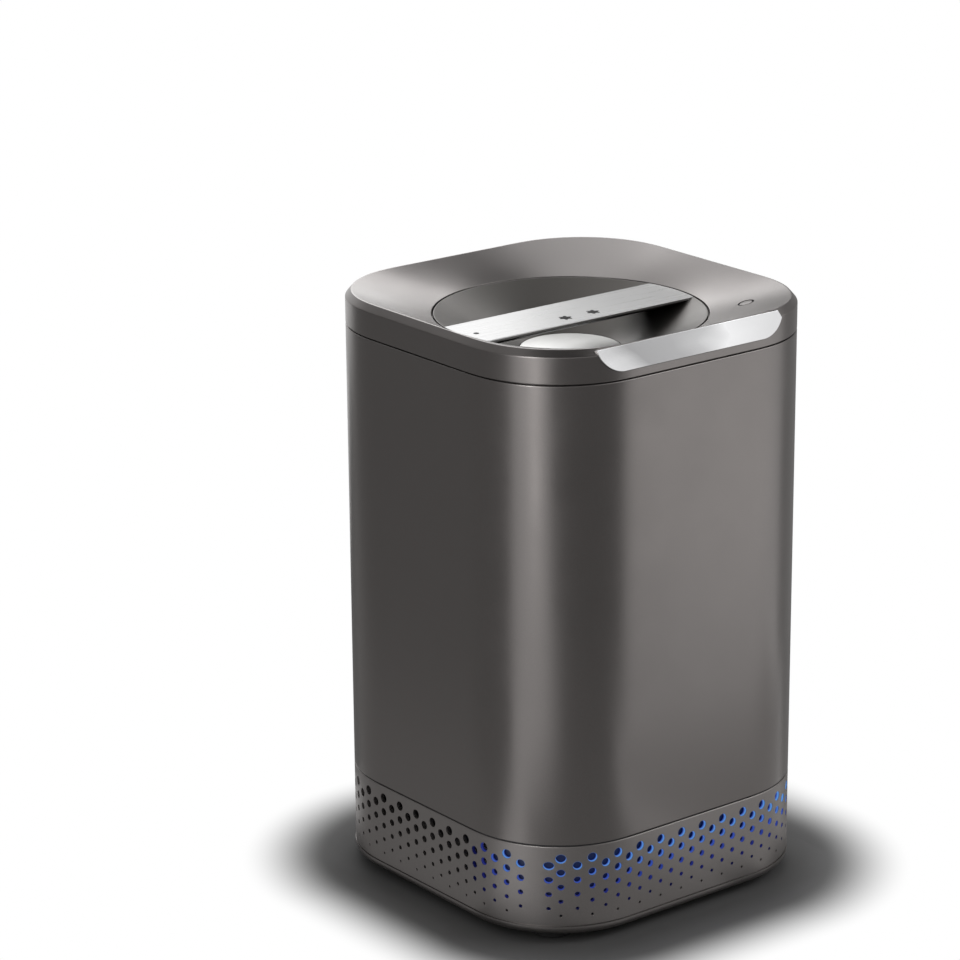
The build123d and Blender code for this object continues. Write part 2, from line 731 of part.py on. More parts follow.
with BuildPart() as motor_pinion:             # the motor's shaft, with the pinion cut on its end
    add(gear(pinion_teeth, fine_module, pinion_turn, 0, -motor_offset, z_fine, fine_face, 0))
    add(ring(motor_shaft_radius, 0, z_fine - motor_tip, z_box_top + motor_height, 0, -motor_offset))
motor_pinion.part.label = "motor_pinion"
export_step(motor_pinion.part, "parts/motor_pinion.step")

with BuildPart() as motor_body:
    add(ring(motor_radius, motor_shaft_radius + running, z_box_top, z_box_top + motor_height,
             0, -motor_offset))
    fillet(motor_body.faces().sort_by(Axis.Z)[-1].edges().sort_by(SortBy.RADIUS)[-1], motor_edge_round)
    add(ring(motor_radius / 2, motor_shaft_radius + running, z_box_top + motor_height,
             z_box_top + motor_height + motor_cap_height, 0, -motor_offset))
motor_body.part.label = "motor_body"
export_step(motor_body.part, "parts/motor_body.step")

# ================================================================ top collar
hollow_top = 0.5                              # the hollow ends this far inside the dish's edge
hollow_step = 4.0                             # lid circle up to the hollow's wider part
ledge_wall = 2.0
ledge_thickness = 4.0
ledge_outer = opening_radius + ledge_wall
boss_radius = 4.5
boss_place = throat_outer + 8.0
boss_count = 4
boss_places = [(boss_place * cos(2 * pi * i / boss_count), boss_place * sin(2 * pi * i / boss_count))
               for i in range(boss_count)]
boss_hole_depth = 12.0
screw_radius = 1.25
tab_starts = [90.0, 210.0, 330.0]             # middle of each lid tab at rest
tab_outer = throat_radius - 0.4
tab_inner = tab_outer - tab_thickness
tab_end_gap = 0.4                             # degrees between a tab and its stop
rib_depth = 1.5
rib_inner = throat_radius - rib_depth
rib_angle = 2.4
z_rib_low = z_ledge - 18.0
z_rib_high = z_ledge - 4.0
grille_start = 32.0
grille_sweep = 26.0
grille_low = z_throat + 6.0
grille_high = z_ledge - 7.0
grille_slots = 7
trim_half_bottom = corner_centre + trim_overrun
trim_wall = 3.0                               # solid left behind the trim
trim_surround = 4.0                           # and below and beside it
facet_length = hypot(trim_lean, trim_rise)
z_trim = z_rim - trim_drop - trim_rise
trim_plane = Plane(origin=(0, -half, z_trim), x_dir=(1, 0, 0), z_dir=(0, -trim_rise, trim_lean))
trim_half_top = trim_half_bottom + sqrt(trim_end_radius ** 2 - (trim_end_radius - facet_length) ** 2)
z_board = z_collar - 9.0                      # underside of the control board
board_thickness = 1.6
board_boss_radius = 3.0
board_boss_spread = 17.0
button_plane = Plane(origin=(button_x, button_y, z_board + board_thickness),
                     x_dir=(button_x, button_y, 0), z_dir=(0, 0, 1))


def trim_outline(extra_height, gap):
    """Outline of the front trim in its own slanted plane, widened by gap and carried up by extra_height."""
    radius = trim_end_radius + gap
    angle = asin((trim_end_radius - facet_length) / radius)     # where the end arc meets the upper edge
    reach = trim_half_bottom + radius * cos(angle)
    middle = (pi / 2 + angle) / 2
    top = facet_length + extra_height
    with BuildLine() as outline:
        Line((-trim_half_bottom, -gap), (trim_half_bottom, -gap))
        for way in (1, -1):
            halfway = (way * (trim_half_bottom + radius * cos(middle)),
                       trim_end_radius - radius * sin(middle))
            ThreePointArc((way * trim_half_bottom, -gap), halfway, (way * reach, facet_length))
            if extra_height > 0:
                Line((way * reach, facet_length), (way * reach, top))
        Line((-reach, top), (reach, top))
    return outline.line


hollow_width = dish_width - 2 * hollow_top

with BuildPart() as collar_hollow:            # the space under the deck, between the wall and the throat
    add(square_block(body_width - 2 * collar_wall, corner_radius - collar_wall,
                     z_collar - seam, z_dish + hollow_step))
    add(square_block(hollow_width, dish_radius - hollow_top, z_collar - seam, z_rim - deck_thickness))
    add(dish(deck_thickness, z_rim), mode=Mode.SUBTRACT)
    add(ring(ledge_outer, 0, z_collar - seam, z_rim), mode=Mode.SUBTRACT)
    with BuildSketch(Plane.XY.offset(z_trim - trim_surround)):
        with Locations((0, -half)):
            Rectangle(2 * (trim_half_top + trim_surround), 2 * (trim_lean + trim_thickness + trim_wall))
    extrude(amount=collar_height, mode=Mode.SUBTRACT)

with BuildPart() as top_collar:
    # outside: wall, then the bevel up to the rim
    add(square_block(body_width, corner_radius, z_collar + seam / 2, z_rim - rim_bevel_height))
    with BuildSketch(Plane.XY.offset(z_rim - rim_bevel_height)):
        RectangleRounded(body_width, body_width, corner_radius)
    with BuildSketch(Plane.XY.offset(z_rim)):
        RectangleRounded(body_width - 2 * rim_bevel_inset, body_width - 2 * rim_bevel_inset,
                         corner_radius - rim_bevel_inset)
    loft(ruled=True)
    add(dish(0, z_rim), mode=Mode.SUBTRACT)
    add(collar_hollow.part, mode=Mode.SUBTRACT)
    # throat, with the ledge that the lid's rim lies over
    add(ring(ledge_outer, 0, z_ledge - ledge_thickness, z_dish))
    add(ring(throat_outer, 0, z_throat, z_ledge))
    # band in the seam and tongue inside the shell
    add(square_tube(body_width - 2 * seam_setback, corner_radius - seam_setback, 2 * collar_wall,
                    z_collar - seam / 2, z_collar + seam / 2))
    add(square_tube(deck_inside, deck_inside / 2 - half + corner_radius, spigot_wall,
                    z_collar - spigot_height, z_collar))
    with BuildSketch(Plane.XY.offset(z_throat)):
        with Locations(*boss_places):
            Circle(boss_radius)
    extrude(amount=deck_height(boss_place - boss_radius, 0) - deck_thickness / 2 - z_throat)
    with BuildSketch(button_plane):
        with GridLocations(1, 2 * board_boss_spread, 1, 2):
            Circle(board_boss_radius)
    extrude(amount=deck_height(button_x, button_y) - deck_thickness / 2 - z_board - board_thickness)
    # openings: throat, ledge, screw holes, button, grille, trim recess
    add(ring(throat_radius, 0, z_throat, z_rim), mode=Mode.SUBTRACT)
    add(ring(opening_radius, 0, z_ledge, z_rim), mode=Mode.SUBTRACT)
    with BuildSketch(Plane.XY.offset(z_throat)):
        with Locations(*boss_places):
            Circle(screw_radius)
    extrude(amount=boss_hole_depth, mode=Mode.SUBTRACT)
    add(ring(button_radius + play, 0, z_board, z_rim, button_x, button_y), mode=Mode.SUBTRACT)
    add(sector(throat_outer + throat_wall, throat_radius - throat_wall, grille_start, grille_sweep,
               grille_low, grille_high), mode=Mode.SUBTRACT)
    with BuildSketch(trim_plane.offset(-trim_thickness)):
        add(make_face(trim_outline(trim_thickness, slip), mode=Mode.PRIVATE))
    extrude(amount=trim_thickness + 2 * trim_lean, mode=Mode.SUBTRACT)
    # stops for the lid's tabs
    for start in tab_starts:
        for angle in (start - tab_angle / 2 - tab_end_gap - rib_angle,
                      start + lid_turn_angle + tab_angle / 2 + tab_end_gap):
            add(sector(throat_radius + throat_wall / 2, rib_inner, angle, rib_angle, z_rib_low, z_rib_high))
top_collar.part.label = "top_collar"
export_step(top_collar.part, "parts/top_collar.step")

with BuildPart() as front_trim:
    with BuildSketch(trim_plane):
        add(make_face(trim_outline(0, 0), mode=Mode.PRIVATE))
    extrude(amount=slip - trim_thickness)
front_trim.part.label = "front_trim"
export_step(front_trim.part, "parts/front_trim.step")

# ================================================================ seal and grille in the throat
lid_gasket_height = 1.1
gasket_outer_gap = 1.1
gasket_inner_gap = 0.2

with BuildPart() as lid_gasket:
    add(ring(opening_radius - gasket_outer_gap, throat_radius + gasket_inner_gap, z_ledge,
             z_ledge + lid_gasket_height))
lid_gasket.part.label = "lid_gasket"
export_step(lid_gasket.part, "parts/lid_gasket.step")

slot_share = 0.62                             # part of each pitch that is open
grille_frame = 2.0                            # solid edge, above and below the slots
grille_end = 1.0                              # and at each end, in degrees
slip_angle = degrees(slip / throat_radius)

with BuildPart() as exhaust_grille:
    add(sector(throat_outer - slip, throat_radius + slip, grille_start + slip_angle,
               grille_sweep - 2 * slip_angle, grille_low + slip, grille_high - slip))
    pitch = (grille_sweep - 2 * grille_end) / grille_slots
    for slot in range(grille_slots):
        start = grille_start + grille_end + pitch * (slot + (1 - slot_share) / 2)
        add(sector(throat_outer + throat_wall, throat_radius - throat_wall, start, pitch * slot_share,
                   grille_low + grille_frame, grille_high - grille_frame), mode=Mode.SUBTRACT)
exhaust_grille.part.label = "exhaust_grille"
export_step(exhaust_grille.part, "parts/exhaust_grille.step")

# ================================================================ bucket well and its heater
well_ear_radius = 8.0
well_rim = 2.0                                # well's rim, beyond the throat
lug_width = 12.0
lug_height = 8.0
seal_lip = 1.0
seal_rise = 1.5

with BuildPart() as bucket_well:
    add(ring(well_outer, 0, z_well, z_throat))
    add(ring(well_inner, 0, z_well_floor, z_throat), mode=Mode.SUBTRACT)
    add(ring(throat_outer + well_rim, well_inner, z_throat - well_floor, z_throat))
    with BuildSketch(Plane.XY.offset(z_throat - well_floor)):
        with Locations(*boss_places):
            Circle(well_ear_radius)
        Circle(well_inner + well_wall / 2, mode=Mode.SUBTRACT)
    extrude(amount=well_floor)
    with BuildSketch(Plane.XY.offset(z_throat)):
        with Locations(*boss_places):
            Circle(screw_radius + slip)
    extrude(amount=-2 * well_floor, mode=Mode.SUBTRACT)
    # lugs that stop the bucket turning, and the shaft hole
    with BuildSketch(Plane.XY.offset(z_well_floor)):
        with Locations((0, bucket_foot_radius), (0, -bucket_foot_radius)):
            Rectangle(lug_width - 2 * play, 4 * bucket_foot_wall)
    extrude(amount=lug_height - 2 * play)
    add(ring(shaft_hole_radius, 0, z_well, z_well_floor), mode=Mode.SUBTRACT)
bucket_well.part.label = "bucket_well"
export_step(bucket_well.part, "parts/bucket_well.step")

with BuildPart() as shaft_seal:
    add(ring(shaft_hole_radius - slip, output_shaft_radius + running, z_well, z_well_floor))
    add(ring(shaft_hole_radius - seal_lip, output_shaft_radius + running, z_well_floor,
             z_well_floor + seal_rise))
shaft_seal.part.label = "shaft_seal"
export_step(shaft_seal.part, "parts/shaft_seal.step")

z_heater = z_well + 8.0
heater_middle = z_heater + heater_height / 2
heater_outer = well_outer + slip + heater_thickness
clamp_length = 8.0
clamp_thickness = 1.6
clamp_split = 4.4                             # gap between the two clamp ears

with BuildPart() as heater_band:
    add(ring(heater_outer, well_outer + slip, z_heater, z_heater + heater_height))
    # clamp ears, either side of a split at the left
    with BuildSketch(Plane.XY.offset(z_heater)):
        with Locations((-heater_outer - clamp_length / 2, 0)):
            with GridLocations(1, clamp_split + clamp_thickness, 1, 2):
                Rectangle(clamp_length + 2 * heater_thickness, clamp_thickness)
    extrude(amount=heater_height)
    with BuildSketch(Plane.XY.offset(z_heater)):
        with Locations((-heater_outer, 0)):
            Rectangle(4 * heater_thickness, clamp_split)
    extrude(amount=heater_height, mode=Mode.SUBTRACT)
    add(ring(well_outer + slip, 0, z_heater, z_heater + heater_height), mode=Mode.SUBTRACT)
heater_band.part.label = "heater_band"
export_step(heater_band.part, "parts/heater_band.step")

thermostat_radius = 7.0
thermostat_height = 6.0
terminal_spacing = 7.0
terminal_size = (1.0, 5.0, 6.0)
fuse_size = (16.0, 6.0, 5.0)

with BuildPart() as thermostat:               # on the band, right side
    with BuildSketch(Plane.YZ.offset(heater_outer + slip)):
        with Locations((0, heater_middle)):
            Circle(thermostat_radius)
    extrude(amount=thermostat_height)
    with BuildSketch(Plane.YZ.offset(heater_outer + slip + thermostat_height)):
        with Locations((0, heater_middle)):
            with GridLocations(terminal_spacing, 1, 2, 1):
                Rectangle(terminal_size[0], terminal_size[1])
    extrude(amount=terminal_size[2])
thermostat.part.label = "thermostat"
export_step(thermostat.part, "parts/thermostat.step")

with BuildPart() as thermal_fuse:             # on the band, at the back
    with BuildSketch(Plane.XZ.offset(-heater_outer - slip)):
        with Locations((0, heater_middle)):
            RectangleRounded(fuse_size[0], fuse_size[1], fuse_size[1] / 3)
    extrude(amount=-fuse_size[2])
thermal_fuse.part.label = "thermal_fuse"
export_step(thermal_fuse.part, "parts/thermal_fuse.step")

with BuildPart() as well_screws:
    add(screw_set(boss_places, z_throat - well_floor, screw_radius,
                  well_floor + boss_hole_depth - thread_clearance, -1))
well_screws.part.label = "well_screws"
export_step(well_screws.part, "parts/well_screws.step")

# ================================================================ exhaust path: duct, fan, filter bay
hood_width = 40.0
hood_low = grille_low - 3.0
hood_high = grille_high + 1.5
hood_inner = throat_outer - 12.0              # the hood starts inside the throat and is cut to fit it
hood_outer = sqrt(2) * fan_place + duct_radius
hood_middle = (hood_inner + hood_outer) / 2
z_fan_top = z_deck + fan_housing_height
fan_wall = 1.5
outlet_low = fan_place - 18.0                 # Y of the passage from the fan to the filter bay
outlet_high = fan_place + 12.0
outlet_middle = (outlet_low + outlet_high) / 2
bay_right = bay_centre_x + bay_width / 2
fan_pin_radius = 2.5
hood_plane = Plane(origin=(0, 0, hood_low), x_dir=(1, 1, 0), z_dir=(0, 0, 1))

with BuildPart() as exhaust_duct:
    with BuildSketch(hood_plane):
        with Locations((hood_middle, 0)):
            Rectangle(hood_outer - hood_inner, hood_width)
    extrude(amount=hood_high - hood_low)
    add(ring(duct_radius, 0, z_fan_top, hood_low, fan_place, fan_place))
    with BuildSketch(hood_plane.offset(duct_wall)):
        with Locations((hood_middle - duct_wall, 0)):
            Rectangle(hood_outer - hood_inner, hood_width - 2 * duct_wall)
    extrude(amount=hood_high - hood_low - 2 * duct_wall, mode=Mode.SUBTRACT)
    add(ring(duct_radius - duct_wall, 0, z_fan_top, hood_low + 2 * duct_wall, fan_place, fan_place),
        mode=Mode.SUBTRACT)
    add(ring(throat_outer + slip, 0, z_throat, z_ledge), mode=Mode.SUBTRACT)
exhaust_duct.part.label = "exhaust_duct"
export_step(exhaust_duct.part, "parts/exhaust_duct.step")

wheel_gap = 1.5                               # fan wheel to the floor of its housing
wheel_height = fan_housing_height - 2 * fan_wall - wheel_gap - 2.5
wheel_ring = 1.5                              # thickness of its disc and of its upper ring
blade_length = 6.0
blade_thickness = 1.0
blade_angle = 35.0
fan_hub_radius = 6.0
z_wheel = z_deck + fan_wall + wheel_gap
z_fan_hub = z_fan_top - 8.0                   # top of the wheel's hub

with BuildPart() as fan_housing:
    add(ring(fan_housing_radius, 0, z_deck, z_fan_top, fan_place, fan_place))
    with BuildSketch(Plane.XY.offset(z_deck)):
        with Locations(((bay_right + slip + fan_place) / 2, outlet_middle)):
            Rectangle(fan_place - bay_right - slip, outlet_high - outlet_low)
    extrude(amount=fan_housing_height)
    add(ring(fan_housing_radius - fan_wall, 0, z_deck + fan_wall, z_fan_top - fan_wall, fan_place, fan_place),
        mode=Mode.SUBTRACT)
    with BuildSketch(Plane.XY.offset(z_deck + fan_wall)):
        with Locations(((bay_right + fan_place) / 2, outlet_middle)):
            Rectangle(fan_place - bay_right, outlet_high - outlet_low - 2 * fan_wall)
    extrude(amount=fan_housing_height - 2 * fan_wall, mode=Mode.SUBTRACT)
    add(ring(duct_radius - duct_wall, 0, z_deck + 2 * fan_wall, z_fan_top, fan_place, fan_place),
        mode=Mode.SUBTRACT)
    add(ring(fan_pin_radius, 0, z_deck, z_fan_hub, fan_place, fan_place))
fan_housing.part.label = "fan_housing"
export_step(fan_housing.part, "parts/fan_housing.step")

with BuildPart() as fan_wheel:
    add(ring(fan_wheel_radius, 0, z_wheel, z_wheel + wheel_ring, fan_place, fan_place))
    add(ring(fan_hub_radius, 0, z_wheel, z_fan_hub, fan_place, fan_place))
    with BuildSketch(Plane(origin=(fan_place, fan_place, z_wheel))):
        with PolarLocations(fan_wheel_radius - blade_length / 2, fan_blades):
            Rectangle(blade_length, blade_thickness, rotation=blade_angle)
    extrude(amount=wheel_height)
    add(ring(fan_wheel_radius, fan_wheel_radius - wheel_ring, z_wheel + wheel_height - wheel_ring,
             z_wheel + wheel_height, fan_place, fan_place))
    add(ring(fan_pin_radius + running, 0, z_wheel, z_fan_top, fan_place, fan_place), mode=Mode.SUBTRACT)
fan_wheel.part.label = "fan_wheel"
export_step(fan_wheel.part, "parts/fan_wheel.step")

bay_back = half - drawer_front_thickness - play
bay_front = bay_back - bay_depth

with BuildPart() as filter_bay:
    with BuildSketch(Plane.XY.offset(z_deck)):
        with Locations((bay_centre_x, (bay_front + bay_back) / 2)):
            Rectangle(bay_width, bay_back - bay_front)
    extrude(amount=bay_height)
    with BuildSketch(Plane.XY.offset(z_deck + bay_wall)):
        with Locations((bay_centre_x, (bay_front + bay_back) / 2 + bay_wall)):
            Rectangle(bay_width - 2 * bay_wall, bay_back - bay_front)
    extrude(amount=bay_height - 2 * bay_wall, mode=Mode.SUBTRACT)
    with BuildSketch(Plane.YZ.offset(bay_right)):
        with Locations((outlet_middle, z_deck + fan_housing_height / 2)):
            Rectangle(outlet_high - outlet_low - 2 * fan_wall, fan_housing_height - 2 * fan_wall)
    extrude(amount=-2 * bay_wall, mode=Mode.SUBTRACT)
filter_bay.part.label = "filter_bay"
export_step(filter_bay.part, "parts/filter_bay.step")

# ================================================================ filter drawer
tray_headroom = 4.0
tray_left = bay_centre_x - bay_width / 2 + bay_wall + play
tray_right = bay_centre_x + bay_width / 2 - bay_wall - play
tray_front = bay_front + bay_wall + play
tray_back = half - drawer_front_thickness
tray_low = z_deck + bay_wall + play
tray_high = z_bay - bay_wall - tray_headroom
tray_wall = 1.6
tray_middle = ((tray_left + tray_right) / 2, (tray_front + tray_back) / 2)
tray_size = (tray_right - tray_left, tray_back - tray_front)
drawer_slots = 11
drawer_slot_pitch = 6.0
drawer_slot_width = 2.4
drawer_slot_length = 13.0

with BuildPart() as drawer_tray:
    with BuildSketch(Plane.XY.offset(tray_low)):
        with Locations(tray_middle):
            Rectangle(*tray_size)
    extrude(amount=tray_high - tray_low)
    with BuildSketch(Plane.XY.offset(tray_low + tray_wall)):
        with Locations(tray_middle):
            Rectangle(tray_size[0] - 2 * tray_wall, tray_size[1] - 2 * tray_wall)
    extrude(amount=bay_height, mode=Mode.SUBTRACT)
    # air comes in at the right and leaves through the front panel
    with BuildSketch(Plane.YZ.offset(tray_right)):
        with Locations((outlet_middle, z_deck + fan_housing_height / 2)):
            Rectangle(outlet_high - outlet_low - 2 * fan_wall,
                      fan_housing_height - 3 * tray_wall - 4 * fan_wall)
    extrude(amount=-2 * tray_wall, mode=Mode.SUBTRACT)
    with BuildSketch(Plane.XZ.offset(-tray_back)):
        with Locations((tray_middle[0], (tray_low + tray_high) / 2)):
            Rectangle(drawer_slots * drawer_slot_pitch, drawer_slot_length + 2 * tray_wall)
    extrude(amount=2 * tray_wall, mode=Mode.SUBTRACT)
drawer_tray.part.label = "drawer_tray"
export_step(drawer_tray.part, "parts/drawer_tray.step")

notch_width = 26.0                            # finger notch in the drawer's upper edge
notch_height = 7.0
notch_depth = 4.8
front_corner = 1.5

with BuildPart() as drawer_front:
    with BuildSketch(Plane.XZ.offset(-half)):
        with Locations((bay_centre_x, (z_deck + z_bay) / 2)):
            RectangleRounded(bay_width - 2 * play, bay_height - 2 * play, front_corner)
    extrude(amount=drawer_front_thickness)
    with BuildSketch(Plane.XZ.offset(-half)):
        with Locations((bay_centre_x, (tray_low + tray_high) / 2)):
            with GridLocations(drawer_slot_pitch, 1, drawer_slots, 1):
                SlotOverall(drawer_slot_length, drawer_slot_width, rotation=90)
    extrude(amount=2 * drawer_front_thickness, mode=Mode.SUBTRACT)
    with BuildSketch(Plane.XZ.offset(-half)):
        with Locations((bay_centre_x, z_bay - play - notch_height / 2)):
            Rectangle(notch_width, notch_height)
    extrude(amount=notch_depth, mode=Mode.SUBTRACT)
drawer_front.part.label = "drawer_front"
export_step(drawer_front.part, "parts/drawer_front.step")

cartridge_low = tray_low + tray_wall
cartridge_high = tray_high - 5.0
cartridge_corner = 3.0
cell_pitch = 9.0
cell_size = 6.0
cell_depth = 2.0
foam_thickness = 4.0
cartridge_size = (tray_size[0] - 2 * tray_wall - 2 * play, tray_size[1] - 2 * tray_wall - 2 * play)

with BuildPart() as carbon_cartridge:
    with BuildSketch(Plane.XY.offset(cartridge_low)):
        with Locations(tray_middle):
            RectangleRounded(*cartridge_size, cartridge_corner)
    extrude(amount=cartridge_high - cartridge_low)
    with BuildSketch(Plane.XY.offset(cartridge_high)):
        with Locations(tray_middle):
            with GridLocations(cell_pitch, cell_pitch, floor(cartridge_size[0] / cell_pitch) - 1,
                               floor(cartridge_size[1] / cell_pitch) - 1):
                Rectangle(cell_size, cell_size)
    extrude(amount=-cell_depth, mode=Mode.SUBTRACT)
carbon_cartridge.part.label = "carbon_cartridge"
export_step(carbon_cartridge.part, "parts/carbon_cartridge.step")

with BuildPart() as foam_pad:
    with BuildSketch(Plane.XY.offset(cartridge_high)):
        with Locations(tray_middle):
            Rectangle(*cartridge_size)
    extrude(amount=foam_thickness)
foam_pad.part.label = "foam_pad"
export_step(foam_pad.part, "parts/foam_pad.step")

# ================================================================ bucket
bush_flange = 2.0
bush_flange_reach = 4.0
bush_below = 1.2                              # bush under the bucket's floor
bush_outer = paddle_shaft_radius + 4.0
socket_wall = 4.4
socket_radius = dog_across_flats / sqrt(3) + socket_wall
z_socket_low = z_dog + 2 * play
z_socket_roof = z_output_end + 2 * play
z_socket_top = z_bucket - bush_below - play
z_hub = z_bucket_floor + bush_flange + play
z_hub_top = z_hub + paddle_hub_height

with BuildPart() as bucket:
    with BuildSketch(Plane.XZ):
        with BuildLine():
            FilletPolyline((0, z_bucket), (bucket_radius, z_bucket), (bucket_radius, z_bucket_rim),
                           radius=bucket_corner)
            Line((bucket_radius, z_bucket_rim), (bucket_inner, z_bucket_rim))
            FilletPolyline((bucket_inner, z_bucket_rim), (bucket_inner, z_bucket_floor), (0, z_bucket_floor),
                           radius=bucket_corner - bucket_wall)
            Line((0, z_bucket_floor), (0, z_bucket))
        make_face()
    revolve(axis=Axis.Z)
    add(ring(bucket_foot_radius + bucket_foot_wall / 2, bucket_foot_radius - bucket_foot_wall / 2,
             z_well_floor + play, z_bucket))
    with BuildSketch(Plane.XY.offset(z_well_floor)):
        Rectangle(lug_width, 3 * bucket_foot_radius)
    extrude(amount=lug_height, mode=Mode.SUBTRACT)
    add(ring(bush_outer + slip, 0, z_bucket, z_bucket_floor), mode=Mode.SUBTRACT)
bucket.part.label = "bucket"
export_step(bucket.part, "parts/bucket.step")

with BuildPart() as bucket_bush:
    add(ring(bush_outer, paddle_shaft_radius + running, z_bucket - bush_below, z_bucket_floor))
    add(ring(bush_outer + bush_flange_reach, paddle_shaft_radius + running, z_bucket_floor,
             z_bucket_floor + bush_flange))
bucket_bush.part.label = "bucket_bush"
export_step(bucket_bush.part, "parts/bucket_bush.step")

z_grip = z_bucket_rim - 12.0
grip_thickness = 3.0
grip_edge = 3.0                               # metal left around the finger slot
grip_edge_angle = 4.0
grip_slot = grip_depth - slip - 2 * grip_edge
grip_back_height = 10.0
grip_back_thickness = 1.6

with BuildPart() as bucket_grips:
    for middle in (0, 180):
        start = middle - grip_half_angle
        add(sector(bucket_inner - slip, bucket_inner - grip_depth, start, 2 * grip_half_angle,
                   z_grip, z_grip + grip_thickness))
        add(sector(bucket_inner - slip, bucket_inner - slip - grip_back_thickness, start,
                   2 * grip_half_angle, z_grip, z_grip + grip_back_height))
        add(sector(bucket_inner - slip - grip_edge, bucket_inner - slip - grip_edge - grip_slot,
                   start + grip_edge_angle, 2 * (grip_half_angle - grip_edge_angle),
                   z_grip - grip_thickness, z_grip + 2 * grip_thickness), mode=Mode.SUBTRACT)
bucket_grips.part.label = "bucket_grips"
export_step(bucket_grips.part, "parts/bucket_grips.step")

breaker_rise = 20.0                           # above the paddle's underside
breaker_bevel = 2.5
z_breaker = z_hub + breaker_rise

with BuildPart() as breakers:                 # fixed bars that the lumps are cut against
    with BuildSketch(Plane.XY.offset(z_breaker)):
        Circle(bucket_inner - slip)
        Rectangle(breaker_width, 4 * bucket_radius, mode=Mode.INTERSECT)
        Circle(bucket_inner - breaker_length, mode=Mode.SUBTRACT)
    extrude(amount=breaker_height)
    chamfer(breakers.edges().group_by(Axis.Z)[-1].filter_by(Axis.Y), breaker_bevel)
breakers.part.label = "breakers"
export_step(breakers.part, "parts/breakers.step")

# ================================================================ paddle
arm_width = 12.0
arm_height = 10.0
arm_corner = 3.0
arm_taper = 14.0
paddle_reach = bucket_inner - paddle_gap
upper_arm_reach = paddle_reach - 8.0
upper_arm_drop = 2.0                          # hub's top down to the short arms
stud_radius = 4.5                             # reduced end of the shaft, inside the nut
nut_height = 9.0
nut_roof = 1.5
nut_chamfer = 1.5
nut_across_flats = 18.0

with BuildPart() as paddle_shaft:
    add(ring(socket_radius, 0, z_socket_low, z_socket_top))
    with BuildSketch(Plane.XY.offset(z_socket_low)):
        RegularPolygon(dog_across_flats / 2 + play, 6, major_radius=False)
    extrude(amount=z_socket_roof - z_socket_low, mode=Mode.SUBTRACT)
    add(ring(paddle_shaft_radius, 0, z_socket_top, z_hub_top))
    add(ring(stud_radius, 0, z_hub_top, z_hub_top + nut_height - nut_roof - play))
paddle_shaft.part.label = "paddle_shaft"
export_step(paddle_shaft.part, "parts/paddle_shaft.step")

with BuildPart() as paddle:
    add(ring(paddle_hub_radius, 0, z_hub, z_hub_top))
    # long arms that sweep the floor, bevelled on their upper edges
    with BuildSketch(Plane.XY.offset(z_hub)):
        with PolarLocations(0, 2):
            with Locations((paddle_reach / 2, 0)):
                RectangleRounded(paddle_reach, arm_width, arm_corner)
    extrude(amount=arm_height, taper=arm_taper)
    # short arms above the breakers, at right angles to the long ones
    with BuildSketch(Plane.XY.offset(z_hub_top - arm_height - upper_arm_drop)):
        with PolarLocations(0, 2, start_angle=90):
            with Locations((upper_arm_reach / 2, 0)):
                RectangleRounded(upper_arm_reach, arm_width, arm_corner)
    extrude(amount=arm_height, taper=arm_taper)
    add(ring(paddle_shaft_radius + running, 0, z_hub, z_hub_top), mode=Mode.SUBTRACT)
paddle.part.label = "paddle"
export_step(paddle.part, "parts/paddle.step")

with BuildPart() as paddle_nut:
    with BuildSketch(Plane.XY.offset(z_hub_top)):
        RegularPolygon(nut_across_flats / 2, 6, major_radius=False)
    extrude(amount=nut_height)
    chamfer(paddle_nut.faces().sort_by(Axis.Z)[-1].edges(), nut_chamfer)
    add(ring(stud_radius + running, 0, z_hub_top, z_hub_top + nut_height - nut_roof), mode=Mode.SUBTRACT)
paddle_nut.part.label = "paddle_nut"
export_step(paddle_nut.part, "parts/paddle_nut.step")

# ================================================================ lid, inner half: liner and seal
z_seal = z_bucket_rim + play
z_liner = z_seal + seal_height
liner_inset = 0.5
liner_radius = bucket_radius - liner_inset
z_bowl = z_dish - lid_floor_drop              # flat of the bowl
bowl_floor = 2.0                              # lid's metal under the pad
z_bowl_under = z_bowl - lid_disc_thickness - bowl_floor
liner_hub_radius = 12.0
vent_slots = 12
vent_inset = 26.0                             # liner's edge to the middle of a vent
vent_size = (22.0, 5.0)

with BuildPart() as lid_liner:
    add(ring(liner_radius, 0, z_liner, z_liner + liner_thickness))
    add(ring(liner_hub_radius, 0, z_liner, z_bowl_under - play))
    with BuildSketch(Plane.XY.offset(z_liner)):
        with PolarLocations(liner_radius - vent_inset, vent_slots):
            SlotOverall(*vent_size)
    extrude(amount=liner_thickness, mode=Mode.SUBTRACT)
    add(ring(pivot_radius + running, 0, z_liner, z_bowl), mode=Mode.SUBTRACT)
lid_liner.part.label = "lid_liner"
export_step(lid_liner.part, "parts/lid_liner.step")

with BuildPart() as lid_seal:
    add(ring(liner_radius, liner_radius - seal_width, z_seal, z_liner))
lid_seal.part.label = "lid_seal"
export_step(lid_seal.part, "parts/lid_seal.step")

# ================================================================ lid, outer half
slope = lid_floor_drop / (lid_radius - lid_disc_radius)
magnet_radius = 3.0
magnet_height = 3.0
magnet_wall = 1.5
magnet_place = throat_radius - 6.8
magnet_angle = 315.0
magnet_xy = (magnet_place * cos(radians(magnet_angle)), magnet_place * sin(radians(magnet_angle)))
magnet_drop = 19.2                            # lid's rim down to the magnet's underside
z_magnet = z_dish - magnet_drop
z_bar = z_dish - bar_thickness
z_flange = z_ledge + lid_gasket_height + play
flange_radius = throat_radius - play


def bowl_height(radius):
    """Height of the bowl's upper face at a radius."""
    return z_dish - (lid_radius - radius) * slope


